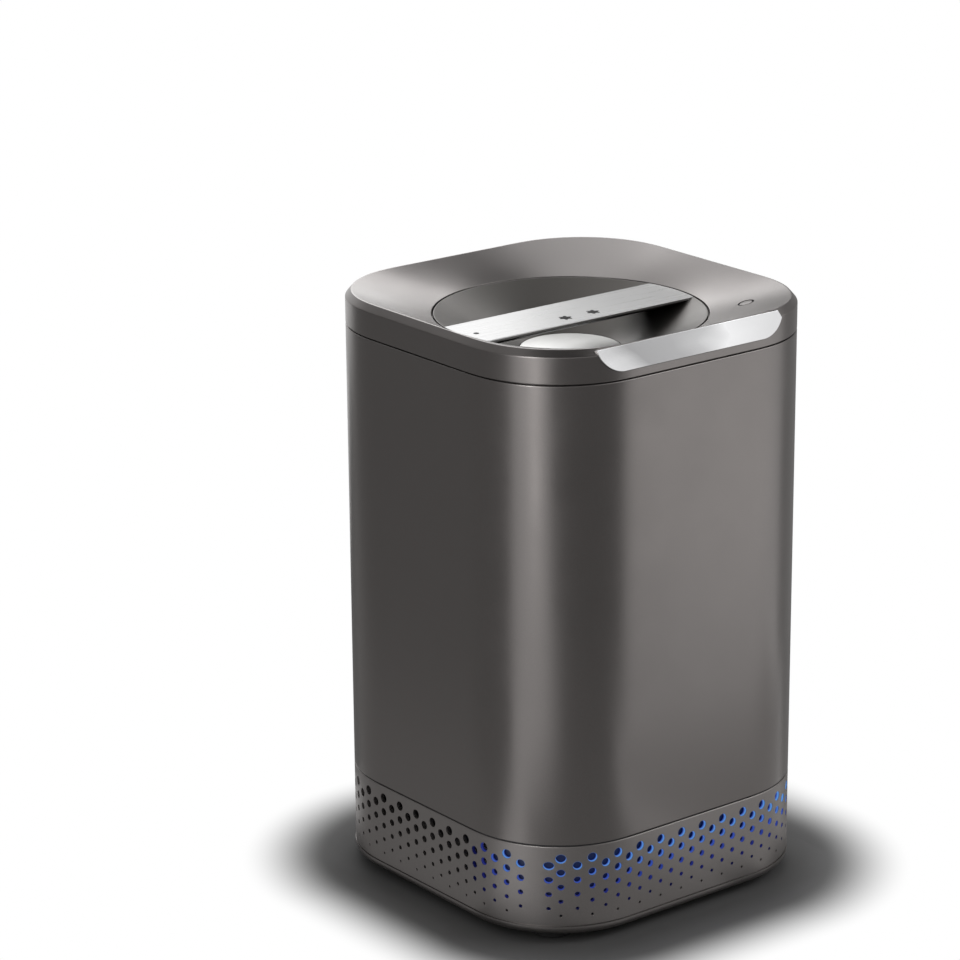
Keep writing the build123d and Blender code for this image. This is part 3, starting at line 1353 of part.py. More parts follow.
with BuildPart() as lid_bowl:
    with BuildSketch(Plane.XZ):
        with BuildLine():
            foot = lid_disc_radius - lid_thickness / 2
            Polyline((0, z_bowl_under), (foot, z_bowl_under),
                     (flange_radius, bowl_height(flange_radius) - lid_thickness), (flange_radius, z_flange),
                     (lid_radius, z_flange), (lid_radius, z_dish), (lid_disc_radius + slip, bowl_height(
                         lid_disc_radius + slip)), (lid_disc_radius + slip, z_bowl - lid_disc_thickness),
                     (0, z_bowl - lid_disc_thickness), close=True)
        make_face()
    revolve(axis=Axis.Z)
    with BuildSketch(Plane.XY.offset(z_magnet)):
        with Locations(magnet_xy):
            Circle(magnet_radius + magnet_wall)
    extrude(amount=bowl_height(magnet_place) - lid_thickness / 2 - z_magnet)
    for start in tab_starts:
        add(sector(tab_outer, tab_inner, start - tab_angle / 2, tab_angle,
                   bowl_height(tab_outer) - lid_thickness / 2 - tab_length, bowl_height(tab_outer)
                   - lid_thickness / 2))
    # the bar lies in a notch across the rim
    with BuildSketch(Plane.XY.offset(z_bar)):
        Rectangle(3 * lid_radius, bar_width + 2 * slip)
    extrude(amount=2 * bar_thickness, mode=Mode.SUBTRACT)
    add(ring(magnet_radius + slip, 0, z_magnet, z_magnet + magnet_height, *magnet_xy), mode=Mode.SUBTRACT)
    add(ring(pivot_radius + slip, 0, z_bowl_under, z_bowl), mode=Mode.SUBTRACT)
lid_bowl.part.label = "lid_bowl"
export_step(lid_bowl.part, "parts/lid_bowl.step")

with BuildPart() as lid_magnet:
    add(ring(magnet_radius, 0, z_magnet, z_magnet + magnet_height, *magnet_xy))
lid_magnet.part.label = "lid_magnet"
export_step(lid_magnet.part, "parts/lid_magnet.step")

with BuildPart() as lid_disc:                 # gently domed pad in the middle of the bowl
    with BuildSketch(Plane.XZ):
        with BuildLine():
            low = z_bowl - lid_disc_thickness
            crown = (lid_disc_radius ** 2 + lid_disc_crown ** 2) / (2 * lid_disc_crown)
            centre = z_bowl + lid_disc_crown - crown
            Polyline((0, z_bowl + lid_disc_crown), (0, low), (lid_disc_radius, low),
                     (lid_disc_radius, z_bowl))
            ThreePointArc((lid_disc_radius, z_bowl),
                          (lid_disc_radius / 2, centre + sqrt(crown ** 2 - lid_disc_radius ** 2 / 4)),
                          (0, z_bowl + lid_disc_crown))
        make_face()
    revolve(axis=Axis.Z)
lid_disc.part.label = "lid_disc"
export_step(lid_disc.part, "parts/lid_disc.step")

with BuildPart() as lid_pivot:
    add(ring(pivot_radius, 0, z_seal, z_bowl - lid_disc_thickness))
    add(ring(pivot_head_radius, 0, z_seal - pivot_head_rise, z_liner - play))
lid_pivot.part.label = "lid_pivot"
export_step(lid_pivot.part, "parts/lid_pivot.step")

z_bridge = z_bar - bridge_height
bridge_seat = lid_radius - (z_dish - z_bridge) / slope
bridge_top = lid_radius - (z_dish - z_bar) / slope

with BuildPart() as lid_bridge:               # stiffening beam under the bar, its ends on the bowl
    with BuildSketch(Plane.XZ):
        with BuildLine():
            Polyline((0, z_bridge), (bridge_seat - slip, z_bridge), (bridge_top - slip, z_bar), (0, z_bar),
                     close=True)
        make_face()
    revolve(axis=Axis.Z)
    with BuildSketch(Plane.XY.offset(z_bridge)):
        Rectangle(3 * lid_radius, bridge_width)
    extrude(amount=bridge_height, mode=Mode.INTERSECT)
lid_bridge.part.label = "lid_bridge"
export_step(lid_bridge.part, "parts/lid_bridge.step")

with BuildPart() as lid_bar:
    with BuildSketch(Plane.XY.offset(z_bar)):
        Circle(lid_radius)
        Rectangle(3 * lid_radius, bar_width, mode=Mode.INTERSECT)
    extrude(amount=bar_thickness)
lid_bar.part.label = "lid_bar"
export_step(lid_bar.part, "parts/lid_bar.step")

# ================================================================ power button and its board
switch_size = 6.2
switch_height = 7.4
plunger_radius = 1.4
plunger_length = 6.0
button_stem_radius = 2.5
button_flange = 1.3
button_flange_reach = 1.6
z_button_foot = z_board + board_thickness + switch_height + button_travel + slip
flange_near = 1 - (button_radius + button_flange_reach + play) / hypot(button_x, button_y)
z_button_flange = deck_height(button_x * flange_near, button_y * flange_near) - deck_thickness - play

with BuildPart() as power_button:
    add(ring(button_radius, 0, z_button_flange - button_flange, z_rim, button_x, button_y))
    add(dish(0, z_rim), mode=Mode.SUBTRACT)
    add(ring(button_radius + button_flange_reach, 0, z_button_flange - button_flange, z_button_flange,
             button_x, button_y))
    add(ring(button_stem_radius, 0, z_button_foot, z_button_flange, button_x, button_y))
    add(ring(plunger_radius, 0, z_button_foot - plunger_length, z_button_foot, button_x, button_y))
power_button.part.label = "power_button"
export_step(power_button.part, "parts/power_button.step")

with BuildPart() as button_switch:
    with BuildSketch(button_plane):
        Rectangle(switch_size, switch_size)
        Circle(plunger_radius + running, mode=Mode.SUBTRACT)
    extrude(amount=switch_height)
button_switch.part.label = "button_switch"
export_step(button_switch.part, "parts/button_switch.step")

control_board_size = (25.0, 44.0)
chip_size = (9.0, 1.6)                        # side and height
connector_size = (6.0, 10.0, 6.0)
connector_place = (7.0, 20.0)                 # outwards from the button's axis, and spacing across it

with BuildPart() as control_board:
    with BuildSketch(button_plane.offset(-board_thickness)):
        Rectangle(*control_board_size)
        with GridLocations(1, 2 * board_boss_spread, 1, 2):
            Circle(screw_radius, mode=Mode.SUBTRACT)
    extrude(amount=board_thickness)
control_board.part.label = "control_board"
export_step(control_board.part, "parts/control_board.step")

with BuildPart() as board_parts:
    with BuildSketch(button_plane.offset(-board_thickness)):
        with Locations((-chip_size[0] / 4, 0)):
            Rectangle(chip_size[0], chip_size[0])
    extrude(amount=-chip_size[1])
    with BuildSketch(button_plane.offset(-board_thickness)):
        with Locations((connector_place[0], 0)):
            with GridLocations(1, connector_place[1], 1, 2):
                Rectangle(connector_size[0], connector_size[1])
    extrude(amount=-connector_size[2])
board_parts.part.label = "board_parts"
export_step(board_parts.part, "parts/board_parts.step")

reed_size = (4.0, 14.0, 5.0)
to_magnet = (cos(radians(magnet_angle)), sin(radians(magnet_angle)))
reed_distance = throat_outer + play + reed_size[0] / 2
reed_plane = Plane(origin=(reed_distance * to_magnet[0], reed_distance * to_magnet[1], z_throat + 8.0),
                   x_dir=(*to_magnet, 0), z_dir=(0, 0, 1))

with BuildPart() as reed_sensor:
    with BuildSketch(reed_plane):
        Rectangle(reed_size[0], reed_size[1])
    extrude(amount=reed_size[2])
reed_sensor.part.label = "reed_sensor"
export_step(reed_sensor.part, "parts/reed_sensor.step")

# ================================================================ power board, front left corner
power_board_gap = 12.5                        # heater band to the board
power_board_size = (76.0, 100.0)
power_board_place = heater_outer + power_board_gap
power_plane = Plane(origin=(-power_board_place / sqrt(2), -power_board_place / sqrt(2), z_deck),
                    x_dir=(1, -1, 0), z_dir=(-1, -1, 0))
part_columns = 18.0                           # transformer and relay to one side, capacitors to the other
transformer_size = (26.0, 22.0, 15.0)
capacitor_size = (8.0, 12.0)                  # radius and height
capacitor_pitch = 22.0
relay_size = (20.0, 16.0, 12.0)
first_row = 26.0                              # board's lower edge up to the transformer
relay_row = 70.0

with BuildPart() as power_board:
    with BuildSketch(power_plane):
        with Locations((0, power_board_size[1] / 2)):
            Rectangle(*power_board_size)
    extrude(amount=board_thickness)
power_board.part.label = "power_board"
export_step(power_board.part, "parts/power_board.step")

with BuildPart() as power_parts:
    with BuildSketch(power_plane.offset(board_thickness)):
        with Locations((-part_columns, first_row)):
            RectangleRounded(transformer_size[0], transformer_size[1], 1.5)
    extrude(amount=transformer_size[2])
    with BuildSketch(power_plane.offset(board_thickness)):
        with Locations((part_columns, first_row), (part_columns, first_row + capacitor_pitch)):
            Circle(capacitor_size[0])
    extrude(amount=capacitor_size[1])
    with BuildSketch(power_plane.offset(board_thickness)):
        with Locations((-part_columns, relay_row)):
            Rectangle(relay_size[0], relay_size[1])
    extrude(amount=relay_size[2])
power_parts.part.label = "power_parts"
export_step(power_parts.part, "parts/power_parts.step")
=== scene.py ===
import json
from math import asin, atan2, ceil, copysign, cos, hypot, pi, radians, remainder, sin, sqrt, tan

import bmesh
import bpy
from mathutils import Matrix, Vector


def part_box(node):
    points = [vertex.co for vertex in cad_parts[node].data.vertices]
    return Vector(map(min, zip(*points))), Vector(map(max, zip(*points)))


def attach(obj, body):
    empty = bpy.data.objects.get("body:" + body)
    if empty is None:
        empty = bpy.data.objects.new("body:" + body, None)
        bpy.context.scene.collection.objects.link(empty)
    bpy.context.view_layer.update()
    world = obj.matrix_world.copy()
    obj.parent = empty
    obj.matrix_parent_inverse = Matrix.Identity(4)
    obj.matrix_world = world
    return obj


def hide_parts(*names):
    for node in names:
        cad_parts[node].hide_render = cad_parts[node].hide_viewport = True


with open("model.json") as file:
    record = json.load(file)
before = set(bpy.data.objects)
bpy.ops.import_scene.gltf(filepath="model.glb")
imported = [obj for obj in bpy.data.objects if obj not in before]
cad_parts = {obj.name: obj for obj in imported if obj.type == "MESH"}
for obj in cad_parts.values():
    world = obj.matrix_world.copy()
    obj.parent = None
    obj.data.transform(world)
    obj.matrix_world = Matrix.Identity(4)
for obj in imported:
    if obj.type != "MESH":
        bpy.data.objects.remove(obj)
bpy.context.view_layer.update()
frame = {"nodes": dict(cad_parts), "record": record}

nodes = frame["nodes"]
scene = bpy.context.scene
mm = 0.001
micron = 1e-6
tiny = 1e-6  # metres, shorter than any real edge
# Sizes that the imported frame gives, and those that the housing's pieces share, in metres.
shellLow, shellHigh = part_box("body_shell")
collarLow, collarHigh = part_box("top_collar")
skirtLow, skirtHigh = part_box("vent_skirt")
barLow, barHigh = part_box("lid_bar")
housing = {
    "corner": 65 * mm,
    "cornerEase": 22 * mm,  # length over which a side turns into its corner
    "easeSteps": 60,
    "traceStep": 0.25 * mm,
    "ringPoints": 288,
    "rimInset": 4.3 * mm,  # side to the edge of the dished deck
    "opening": 83.3 * mm,  # radius of the lid's opening
}
corner, rimInset, opening = (housing[name] for name in ("corner", "rimInset", "opening"))
half = shellHigh.x
rimTop = collarHigh.z
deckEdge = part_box("lid_bowl")[1].z


# Finishes. An input of a new node is either a plain value or the output that feeds it.
def addNode(tree, kind, inputs=None, **settings):
    node = tree.nodes.new("ShaderNode" + kind)
    for key, value in settings.items():
        setattr(node, key, value)
    for key, value in (inputs or {}).items():
        if isinstance(value, bpy.types.NodeSocket):
            tree.links.new(value, node.inputs[key])
        else:
            node.inputs[key].default_value = value
    return node


def newFinish(name, **inputs):
    material = bpy.data.materials.new(name)
    material.use_nodes = True
    tree = material.node_tree
    shader = tree.nodes["Principled BSDF"]
    for key, value in inputs.items():
        socket = key.replace("_", " ")
        shader.inputs[socket].default_value = (*value, 1) if isinstance(value, tuple) else value
    return material, tree, shader


def calculate(tree, operation, *terms):
    return addNode(tree, "Math", dict(enumerate(terms)), operation=operation).outputs["Value"]


def mapRange(tree, value, fromRange, toRange=(0.0, 1.0), **settings):
    ends = zip(("From Min", "From Max", "To Min", "To Max"), (*fromRange, *toRange))
    return addNode(tree, "MapRange", {"Value": value, **dict(ends)}, **settings).outputs["Result"]


def colourRamp(tree, factor, stops, target):
    ramp = addNode(tree, "ValToRGB", {"Fac": factor})
    elements = ramp.color_ramp.elements
    while len(elements) < len(stops):
        elements.new(0.5)
    for element, (position, colour) in zip(elements, stops):
        element.position, element.color = position, (*colour, 1)
    tree.links.new(ramp.outputs["Color"], target)


def objectPlace(tree):
    return addNode(tree, "TexCoord").outputs["Object"]


def objectAxes(tree):
    return addNode(tree, "SeparateXYZ", {"Vector": objectPlace(tree)}).outputs


def grain(tree, scale, detail=3.0, roughness=0.6, stretch=(1, 1, 1)):
    mapping = addNode(tree, "Mapping", {"Vector": objectPlace(tree), "Scale": stretch})
    return addNode(tree, "TexNoise", {"Vector": mapping.outputs["Vector"], "Scale": scale, "Detail": detail,
                                      "Roughness": roughness}).outputs["Fac"]


mostGrain, middleGrain = (0.3, 0.7), (0.35, 0.65)  # where most of a grain's values lie


def varyRoughness(tree, shader, factor, roughness):
    tree.links.new(mapRange(tree, factor, mostGrain, roughness), shader.inputs["Roughness"])


def bump(tree, shader, factor, depth):
    relief = addNode(tree, "Bump", {"Height": factor, "Strength": 1.0, "Distance": depth * micron})
    tree.links.new(relief.outputs["Normal"], shader.inputs["Normal"])


# The colour gets darker and lighter by a share along a grain. Roughness and relief follow it too, unless
# they have grains of their own.
def surface(name, colour, share, roughness, depth, skin, patches=None, peel=None, **inputs):
    material, tree, shader = newFinish(name, **inputs)
    skin = grain(tree, *skin)
    shades = [tuple(c * (1 + change) for c in colour) for change in (-share, share)]
    colourRamp(tree, skin, list(zip(middleGrain, shades)), shader.inputs["Base Color"])
    varyRoughness(tree, shader, grain(tree, *patches) if patches else skin, roughness)
    bump(tree, shader, grain(tree, *peel) if peel else skin, depth)
    return material


def satinPaint(name, colour, roughness):
    return surface(name, colour, paint["spread"], roughness, paint["depth"], paint["flake"], paint["patches"],
                   paint["peel"], **paint["shader"])


def metal(name, colour, share, scale, roughness, depth, stretch=(1, 1, 1)):
    return surface(name, colour, share, roughness, depth, (scale, 5.0, 0.7, stretch), Metallic=1.0)


def plastic(name, colour, share, scale, roughness, depth, patchScale=60):
    return surface(name, colour, share, roughness, depth, (scale, 4.0), (patchScale,))


# painted reflection: light and dark stretches painted into the colour along the piece, standing in for the
# reflections on a polished strip
def paintedReflectionMetal(name):
    material, tree, shader = newFinish(name, Metallic=1.0)
    clouds = grain(tree, paintedReflection["scale"], paintedReflection["detail"], stretch=paintedReflection["stretch"])
    drift = calculate(tree, "MULTIPLY_ADD", clouds, paintedReflection["drift"], objectAxes(tree)["X"])
    middle, reach = paintedReflection["drift"] / 2, paintedReflection["halfLength"]
    along = mapRange(tree, drift, (middle - reach, middle + reach))
    stops = [(place, (level, level, level * paintedReflection["coolness"])) for place, level in paintedReflection["stops"]]
    colourRamp(tree, along, stops, shader.inputs["Base Color"])
    varyRoughness(tree, shader, clouds, paintedReflection["roughness"])
    bump(tree, shader, clouds, paintedReflection["depth"])
    return material


paint = {
    "shader": {"Metallic": 0.92, "Coat_Weight": 0.06, "Coat_Roughness": 0.25}, "spread": 0.10,
    "flake": (5200, 2.0), "patches": (30,), "peel": (900, 1.0),  # scale and detail of its grains
    "depth": 10,  # in microns, as all depths here
}
# by slot: name, colour and roughness
paints = {
    "painted_body": ("satinPaint", (0.198, 0.185, 0.180), (0.28, 0.33)),
    "painted_base": ("satinPaintBase", (0.262, 0.246, 0.240), (0.40, 0.46)),
    "lid_paint": ("satinPaintLid", (0.090, 0.084, 0.078), (0.36, 0.42)),
}
# by slot: name, colour, how far it varies, scale of the grain, roughness, depth of the grain, its stretch
metals = {
    "brushed_bar": ("brushedBar", (0.34, 0.34, 0.34), 0.07, 90, (0.24, 0.40), 15, (0.05, 14, 6)),
    "pad": ("satinPad", (0.58, 0.58, 0.57), 0.02, 60, (0.30, 0.36), 0.1),
    "stainless": ("stainless", (0.56, 0.56, 0.57), 0.08, 120, (0.26, 0.40), 10, (1, 1, 12)),
    "bucket_metal": ("coatedBucket", (0.16, 0.165, 0.17), 0.18, 1100, (0.42, 0.55), 30),
    "paddle_metal": ("blastedCasting", (0.42, 0.42, 0.43), 0.15, 700, (0.40, 0.58), 60),
    "bronze": ("sinteredBronze", (0.50, 0.33, 0.15), 0.12, 900, (0.4, 0.55), 30),
    "gear_steel": ("machinedSteel", (0.40, 0.40, 0.41), 0.10, 300, (0.25, 0.42), 10),
    "zinc": ("castZinc", (0.45, 0.46, 0.47), 0.10, 260, (0.45, 0.62), 80),
    "screw_steel": ("platedScrew", (0.45, 0.45, 0.46), 0.08, 800, (0.28, 0.40), 10),
    "magnet": ("nickelPlate", (0.60, 0.59, 0.57), 0.04, 300, (0.12, 0.2), 5),
    "brass_pin": ("platedPin", (0.62, 0.50, 0.28), 0.06, 500, (0.2, 0.3), 10),
}
# by slot, as above without the stretch
plastics = {
    "dark_plastic": ("darkPlastic", (0.020, 0.020, 0.022), 0.25, 1400, (0.42, 0.55), 40),
    "inner_plastic": ("innerPlastic", (0.055, 0.055, 0.058), 0.20, 900, (0.45, 0.6), 30),
    "rubber": ("footRubber", (0.014, 0.014, 0.014), 0.3, 700, (0.75, 0.9), 50),
    "seal_rubber": ("sealRubber", (0.030, 0.030, 0.031), 0.2, 600, (0.55, 0.7), 30),
    "circuit": ("circuitBoard", (0.012, 0.085, 0.035), 0.35, 420, (0.25, 0.4), 30),
    "component": ("componentBody", (0.022, 0.022, 0.024), 0.3, 500, (0.35, 0.5), 30),
    "mica": ("micaBand", (0.30, 0.21, 0.11), 0.35, 160, (0.4, 0.65), 100),
    "carbon": ("carbonGranules", (0.010, 0.010, 0.010), 0.6, 900, (0.6, 0.9), 600),
    "foam": ("openCellFoam", (0.035, 0.035, 0.037), 0.5, 1300, (0.85, 1.0), 500),
}
# the trim's painted reflection: colour stops along its length, with bright and dark stretches
paintedReflection = {
    "stops": ((0.0, 0.82), (0.10, 0.66), (0.20, 0.40), (0.42, 0.44), (0.55, 0.56), (0.68, 0.88), (1.0, 0.72)),
    "coolness": 1.01, "halfLength": 0.062, "drift": 0.06, "scale": 22, "stretch": (0.7, 1, 2.2),
    "detail": 0.8, "roughness": (0.12, 0.22), "depth": 20,
}
finishes = {"polished_trim": paintedReflectionMetal("trimPaintedReflection")}
for make, table in ((satinPaint, paints), (metal, metals), (plastic, plastics)):
    for slot, row in table.items():
        finishes[slot] = make(*row)

glow = {
    "colour": (0.03, 0.16, 1.0), "unlit": (0.004, 0.010, 0.045), "roughness": 0.45,
    "guideStrength": 0.020, "lampStrength": 3.0,
    "rise": (0.016, 0.056),  # heights where the light starts to show, and where it is full
    "riseLevels": (0.10, 1.0),
    "sideFade": (-0.098, -0.062),  # along the sides it fades between these Y
    "cloudScale": 45, "cloudLevels": (0.8, 1.15),
}


def glowFinish(name, strength):
    material, tree, shader = newFinish(name, Base_Color=glow["unlit"], Roughness=glow["roughness"],
                                       Emission_Color=glow["colour"])
    axes = objectAxes(tree)
    rise = mapRange(tree, axes["Z"], glow["rise"], glow["riseLevels"], interpolation_type="SMOOTHSTEP")
    fade = mapRange(tree, axes["Y"], glow["sideFade"], (1.0, 0.0))
    cloud = mapRange(tree, grain(tree, glow["cloudScale"]), mostGrain, glow["cloudLevels"])
    level = calculate(tree, "MULTIPLY", calculate(tree, "MULTIPLY", rise, fade), cloud)
    tree.links.new(calculate(tree, "MULTIPLY", level, strength), shader.inputs["Emission Strength"])
    return material


finishes["light_guide"] = glowFinish("blueGuide", glow["guideStrength"])
finishes["led"] = glowFinish("blueLamp", glow["lampStrength"])
print("finishes:", len(finishes))

# Carried-over nodes: each gets the finish of its material slot, and most get soft edges.
slotOf = {part["node"]: part["material_slot"] for part in frame["record"]["subparts"]}
softEdges = {  # width in millimetres, and the nodes that get it
    0.25: "inlet_pins",
    0.3: "exhaust_grille drawer_tray filter_bay lid_pivot bucket_bush bucket_well light_guide",
    0.4: "base_pan lid_liner lid_seal bucket paddle_nut chassis_deck rubber_feet",
    0.5: "inlet_socket bucket_grips gearbox_cover",
    0.6: "drawer_front breakers",
    0.9: "paddle",
}
edgeOf = {name: width for width, names in softEdges.items() for name in names.split()}
nodeBend = 35  # degrees; a node's edges that bend by more are softened


def dress(piece, finish):
    mesh = piece.data
    mesh.materials.clear()
    mesh.materials.append(finish)
    mesh.polygons.foreach_set("material_index", [0] * len(mesh.polygons))


def softenEdges(piece, width, segments, bend):
    soften = piece.modifiers.new("softEdge", "BEVEL")
    soften.width, soften.segments = width * mm, segments
    soften.limit_method, soften.angle_limit = "ANGLE", radians(bend)
    return soften


for name, node in nodes.items():
    dress(node, finishes[slotOf[name]])
    if name in edgeOf:
        softenEdges(node, edgeOf[name], 2, nodeBend).harden_normals = True
print("carried-over nodes dressed")


# How the pieces are made. First the housing's outline from above: each side eases into its corner, so
# that highlights have no hard edge there.
def traceWall():
    ease, radius, steps = housing["cornerEase"], corner, housing["easeSteps"]
    parts = [(k + 0.5) / steps for k in range(steps)]
    for _ in range(4):  # closes in on the radius that makes the eased corner fit
        turn = ease / 2 / radius
        fall = sum(sin(turn * t * t) for t in parts) * ease / steps
        radius = (corner - fall) / cos(turn)
    run = sum(cos(turn * t * t) for t in parts) * ease / steps
    start = half - corner + radius * sin(turn) - run
    length = 2 * start + ease + radius * pi / 2
    count = round(length / housing["traceStep"])
    step = length / count
    x, y, heading = 0.0, -half, 0.0
    quarter = []
    for k in range(count):
        quarter.append((x, y, heading))
        s = (k + 0.5) * step
        inward = min(s, length - s) - start
        bend = max(0, min(1, inward / ease)) / radius * step
        x, y = x + cos(heading + bend / 2) * step, y + sin(heading + bend / 2) * step
        heading += bend
    whole = []
    for c, s, side in ((1, 0, 0), (0, 1, 1), (-1, 0, 2), (0, -1, 3)):
        whole += [(c * x - s * y, s * x + c * y, heading + side * pi / 2) for x, y, heading in quarter]
    return whole, step


wall, wallStep = traceWall()
wallLength = len(wall) * wallStep


# a point of the outline, counted from the middle of the front towards +X, and moved in by inset
def wallAt(s, inset=0.0):
    index = int(s / wallStep // 1)
    share = s / wallStep - index
    x0, y0, turn = wall[index % len(wall)]
    x1, y1, nextTurn = wall[(index + 1) % len(wall)]
    turn += (remainder(nextTurn - turn, 2 * pi)) * share
    return x0 + (x1 - x0) * share - sin(turn) * inset, y0 + (y1 - y0) * share + cos(turn) * inset


ringStops = [k * wallLength / housing["ringPoints"] for k in range(housing["ringPoints"])]
deckWidth = half - rimInset - opening


# One ring of the housing. Up to the given inset it follows the wall, then it turns into the lid's circle.
def bodyRing(inset, z, follow=rimInset):
    ring = []
    for s in ringStops:
        x, y = wallAt(s, min(inset, follow))
        if inset > follow:
            share = min(1, (inset - follow) / deckWidth)
            reach = hypot(x, y)
            radius = reach + (opening - reach) * share
            radius -= max(0, inset - follow - deckWidth)
            x, y = x * radius / reach, y * radius / reach
        ring.append((x, y, z))
    return ring


def circle(radius, count):
    return [(radius * cos(2 * pi * k / count), radius * sin(2 * pi * k / count)) for k in range(count)]


def circleRing(radius, z, count=144):
    return [(x, y, z) for x, y in circle(radius, count)]


# Rounds each corner of a closed outline; corners are (across, up, radius) in millimetres. A rounding
# takes up at most the given share of a side.
def softOutline(corners, steps=4, most=0.48):
    line = []
    for index, (across, up, radius) in enumerate(corners):
        here = Vector((across, up))
        back = Vector(corners[index - 1][:2]) - here
        ahead = Vector(corners[(index + 1) % len(corners)][:2]) - here
        if radius == 0:
            line.append(here * mm)
            continue
        reach = radius / tan(back.angle(ahead) / 2)
        start = here + back.normalized() * min(reach, back.length * most)
        end = here + ahead.normalized() * min(reach, ahead.length * most)
        for k in range(steps + 1):
            t = k / steps
            line.append((start * (1 - t) ** 2 + here * 2 * t * (1 - t) + end * t * t) * mm)
    return line


def withRounds(corners, rounds, steps=4):
    return softOutline([(*place, radius) for place, radius in zip(corners, rounds)], steps)


def boxOutline(outer, inner, low, high, rounds, steps=4):
    return withRounds(((outer, low), (outer, high), (inner, high), (inner, low)), rounds, steps)


# puts extra points on the long runs of an outline, so that a bent surface stays smooth
def divided(line, longest):
    fine = []
    for index, point in enumerate(line):
        ahead = line[(index + 1) % len(line)]
        pieces = max(1, ceil((ahead - point).length / longest))
        fine += [point.lerp(ahead, k / pieces) for k in range(pieces)]
    return fine


# A skin through rings; if closed, the last is joined to the first. A ring of zero size closes to a point.
def ringSkin(rings, closed=True):
    mesh = bmesh.new()
    rows = []
    for ring in rings:
        if (Vector(ring[0]) - Vector(ring[len(ring) // 2])).length < tiny:
            rows.append([mesh.verts.new(ring[0])])
        else:
            rows.append([mesh.verts.new(point) for point in ring])
    pairs = list(zip(rows, rows[1:] + rows[:1]))
    for row, other in pairs if closed else pairs[:-1]:
        count = max(len(row), len(other))
        for k in range(count if count > 1 else 0):
            corners = (row[k % len(row)], row[(k + 1) % len(row)],
                       other[(k + 1) % len(other)], other[k % len(other)])
            mesh.faces.new(dict.fromkeys(corners))
    bmesh.ops.recalc_face_normals(mesh, faces=mesh.faces)
    return mesh


def skinAlong(line, ring, closed=True):
    return ringSkin([ring(point.x, point.y) for point in line], closed)


# a band of faces between two rings
def bridge(mesh, ring, other):
    for k in range(len(ring)):
        ahead = (k + 1) % len(ring)
        mesh.faces.new((ring[k], ring[ahead], other[ahead], other[k]))


# a solid between two copies of a closed outline; lift gives the point for (outline point, 0 low or 1 high)
def prism(outline, lift):
    mesh = bmesh.new()
    low = [mesh.verts.new(lift(point, 0)) for point in outline]
    high = [mesh.verts.new(lift(point, 1)) for point in outline]
    mesh.faces.new(low)
    mesh.faces.new(high)
    bridge(mesh, low, high)
    bmesh.ops.recalc_face_normals(mesh, faces=mesh.faces)
    return mesh


def upright(outline, low, high):
    return prism(outline, lambda point, level: (point[0], point[1], high if level else low))


# a part of a round wall between two angles in degrees
def sectorBlock(inner, outer, start, sweep, low, high, steps=6):
    angles = [radians(start + sweep * k / steps) for k in range(steps + 1)]
    outline = [(outer * cos(a), outer * sin(a)) for a in angles]
    outline += [(inner * cos(a), inner * sin(a)) for a in reversed(angles)]
    return upright(outline, low, high)


def disc(x, y, radius, low, high, count=64):
    return upright([(x + across, y + up) for across, up in circle(radius, count)], low, high)


def joined(solids):
    whole = solids[0]
    for other in solids[1:]:
        spare = bpy.data.meshes.new("spare")
        other.to_mesh(spare)
        whole.from_mesh(spare)
        bpy.data.meshes.remove(spare)
        other.free()
    return whole


def toObject(name, solid):
    mesh = bpy.data.meshes.new(name)
    solid.to_mesh(mesh)
    solid.free()
    return addToScene(name, mesh)


def addToScene(name, data):
    thing = bpy.data.objects.new(name, data)
    scene.collection.objects.link(thing)
    return thing


# puts a piece's modifiers into its mesh
def bake(piece):
    evaluated = piece.evaluated_get(bpy.context.evaluated_depsgraph_get())
    mesh = bpy.data.meshes.new_from_object(evaluated)
    old = piece.data
    piece.modifiers.clear()
    piece.data = mesh
    mesh.name = piece.name
    bpy.data.meshes.remove(old)


# takes a solid out of a piece
def cut(piece, solid):
    knife = toObject("knife", solid)
    saw = piece.modifiers.new("cut", "BOOLEAN")
    saw.operation, saw.solver, saw.object = "DIFFERENCE", "EXACT", knife
    bake(piece)
    bpy.data.meshes.remove(knife.data)


# Rounds the edges that bend by more than sharp, dresses the piece and hands it to its body. What bends by
# more than crease after the rounding stays a hard edge.
def finishPiece(piece, slot, body, replaced=(), edge=0.0, segments=3, sharp=32, crease=50, finish=None):
    if edge:
        softenEdges(piece, edge, segments, sharp)
        bake(piece)
    dress(piece, finish or finishes[slot])
    piece.data.shade_smooth()
    piece.data.set_sharp_from_angle(angle=radians(crease if edge else sharp))
    even = piece.modifiers.new("evenNormals", "WEIGHTED_NORMAL")
    even.keep_sharp = True
    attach(piece, body)
    if replaced:
        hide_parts(*replaced)


def addPiece(name, solid, slot, body, replaced=(), cuts=(), **looks):
    piece = toObject(name, solid)
    for knife in cuts:
        cut(piece, knife)
    finishPiece(piece, slot, body, replaced, **looks)
    return piece


# Body shell, in millimetres where no unit is given, as in all that follows.
shell = {"wall": 2, "rounds": (0.6, 1.0, 0.3, 0.3), "drawerPlay": 0.3, "cutReach": (0.9, 1.1)}
profile = boxOutline(0, shell["wall"], shellLow.z / mm, shellHigh.z / mm, shell["rounds"])
drawerLow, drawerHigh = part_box("filter_bay")
play = shell["drawerPlay"] * mm
left, right, bottom, top = drawerLow.x - play, drawerHigh.x + play, drawerLow.z - play, drawerHigh.z + play
drawerSlot = prism([(left, bottom), (right, bottom), (right, top), (left, top)], lambda point, level: (
    point[0], half * shell["cutReach"][level], point[1]))
addPiece("bodyShell", skinAlong(profile, bodyRing), "painted_body", "housing", ["body_shell"], [drawerSlot])
print("body shell")

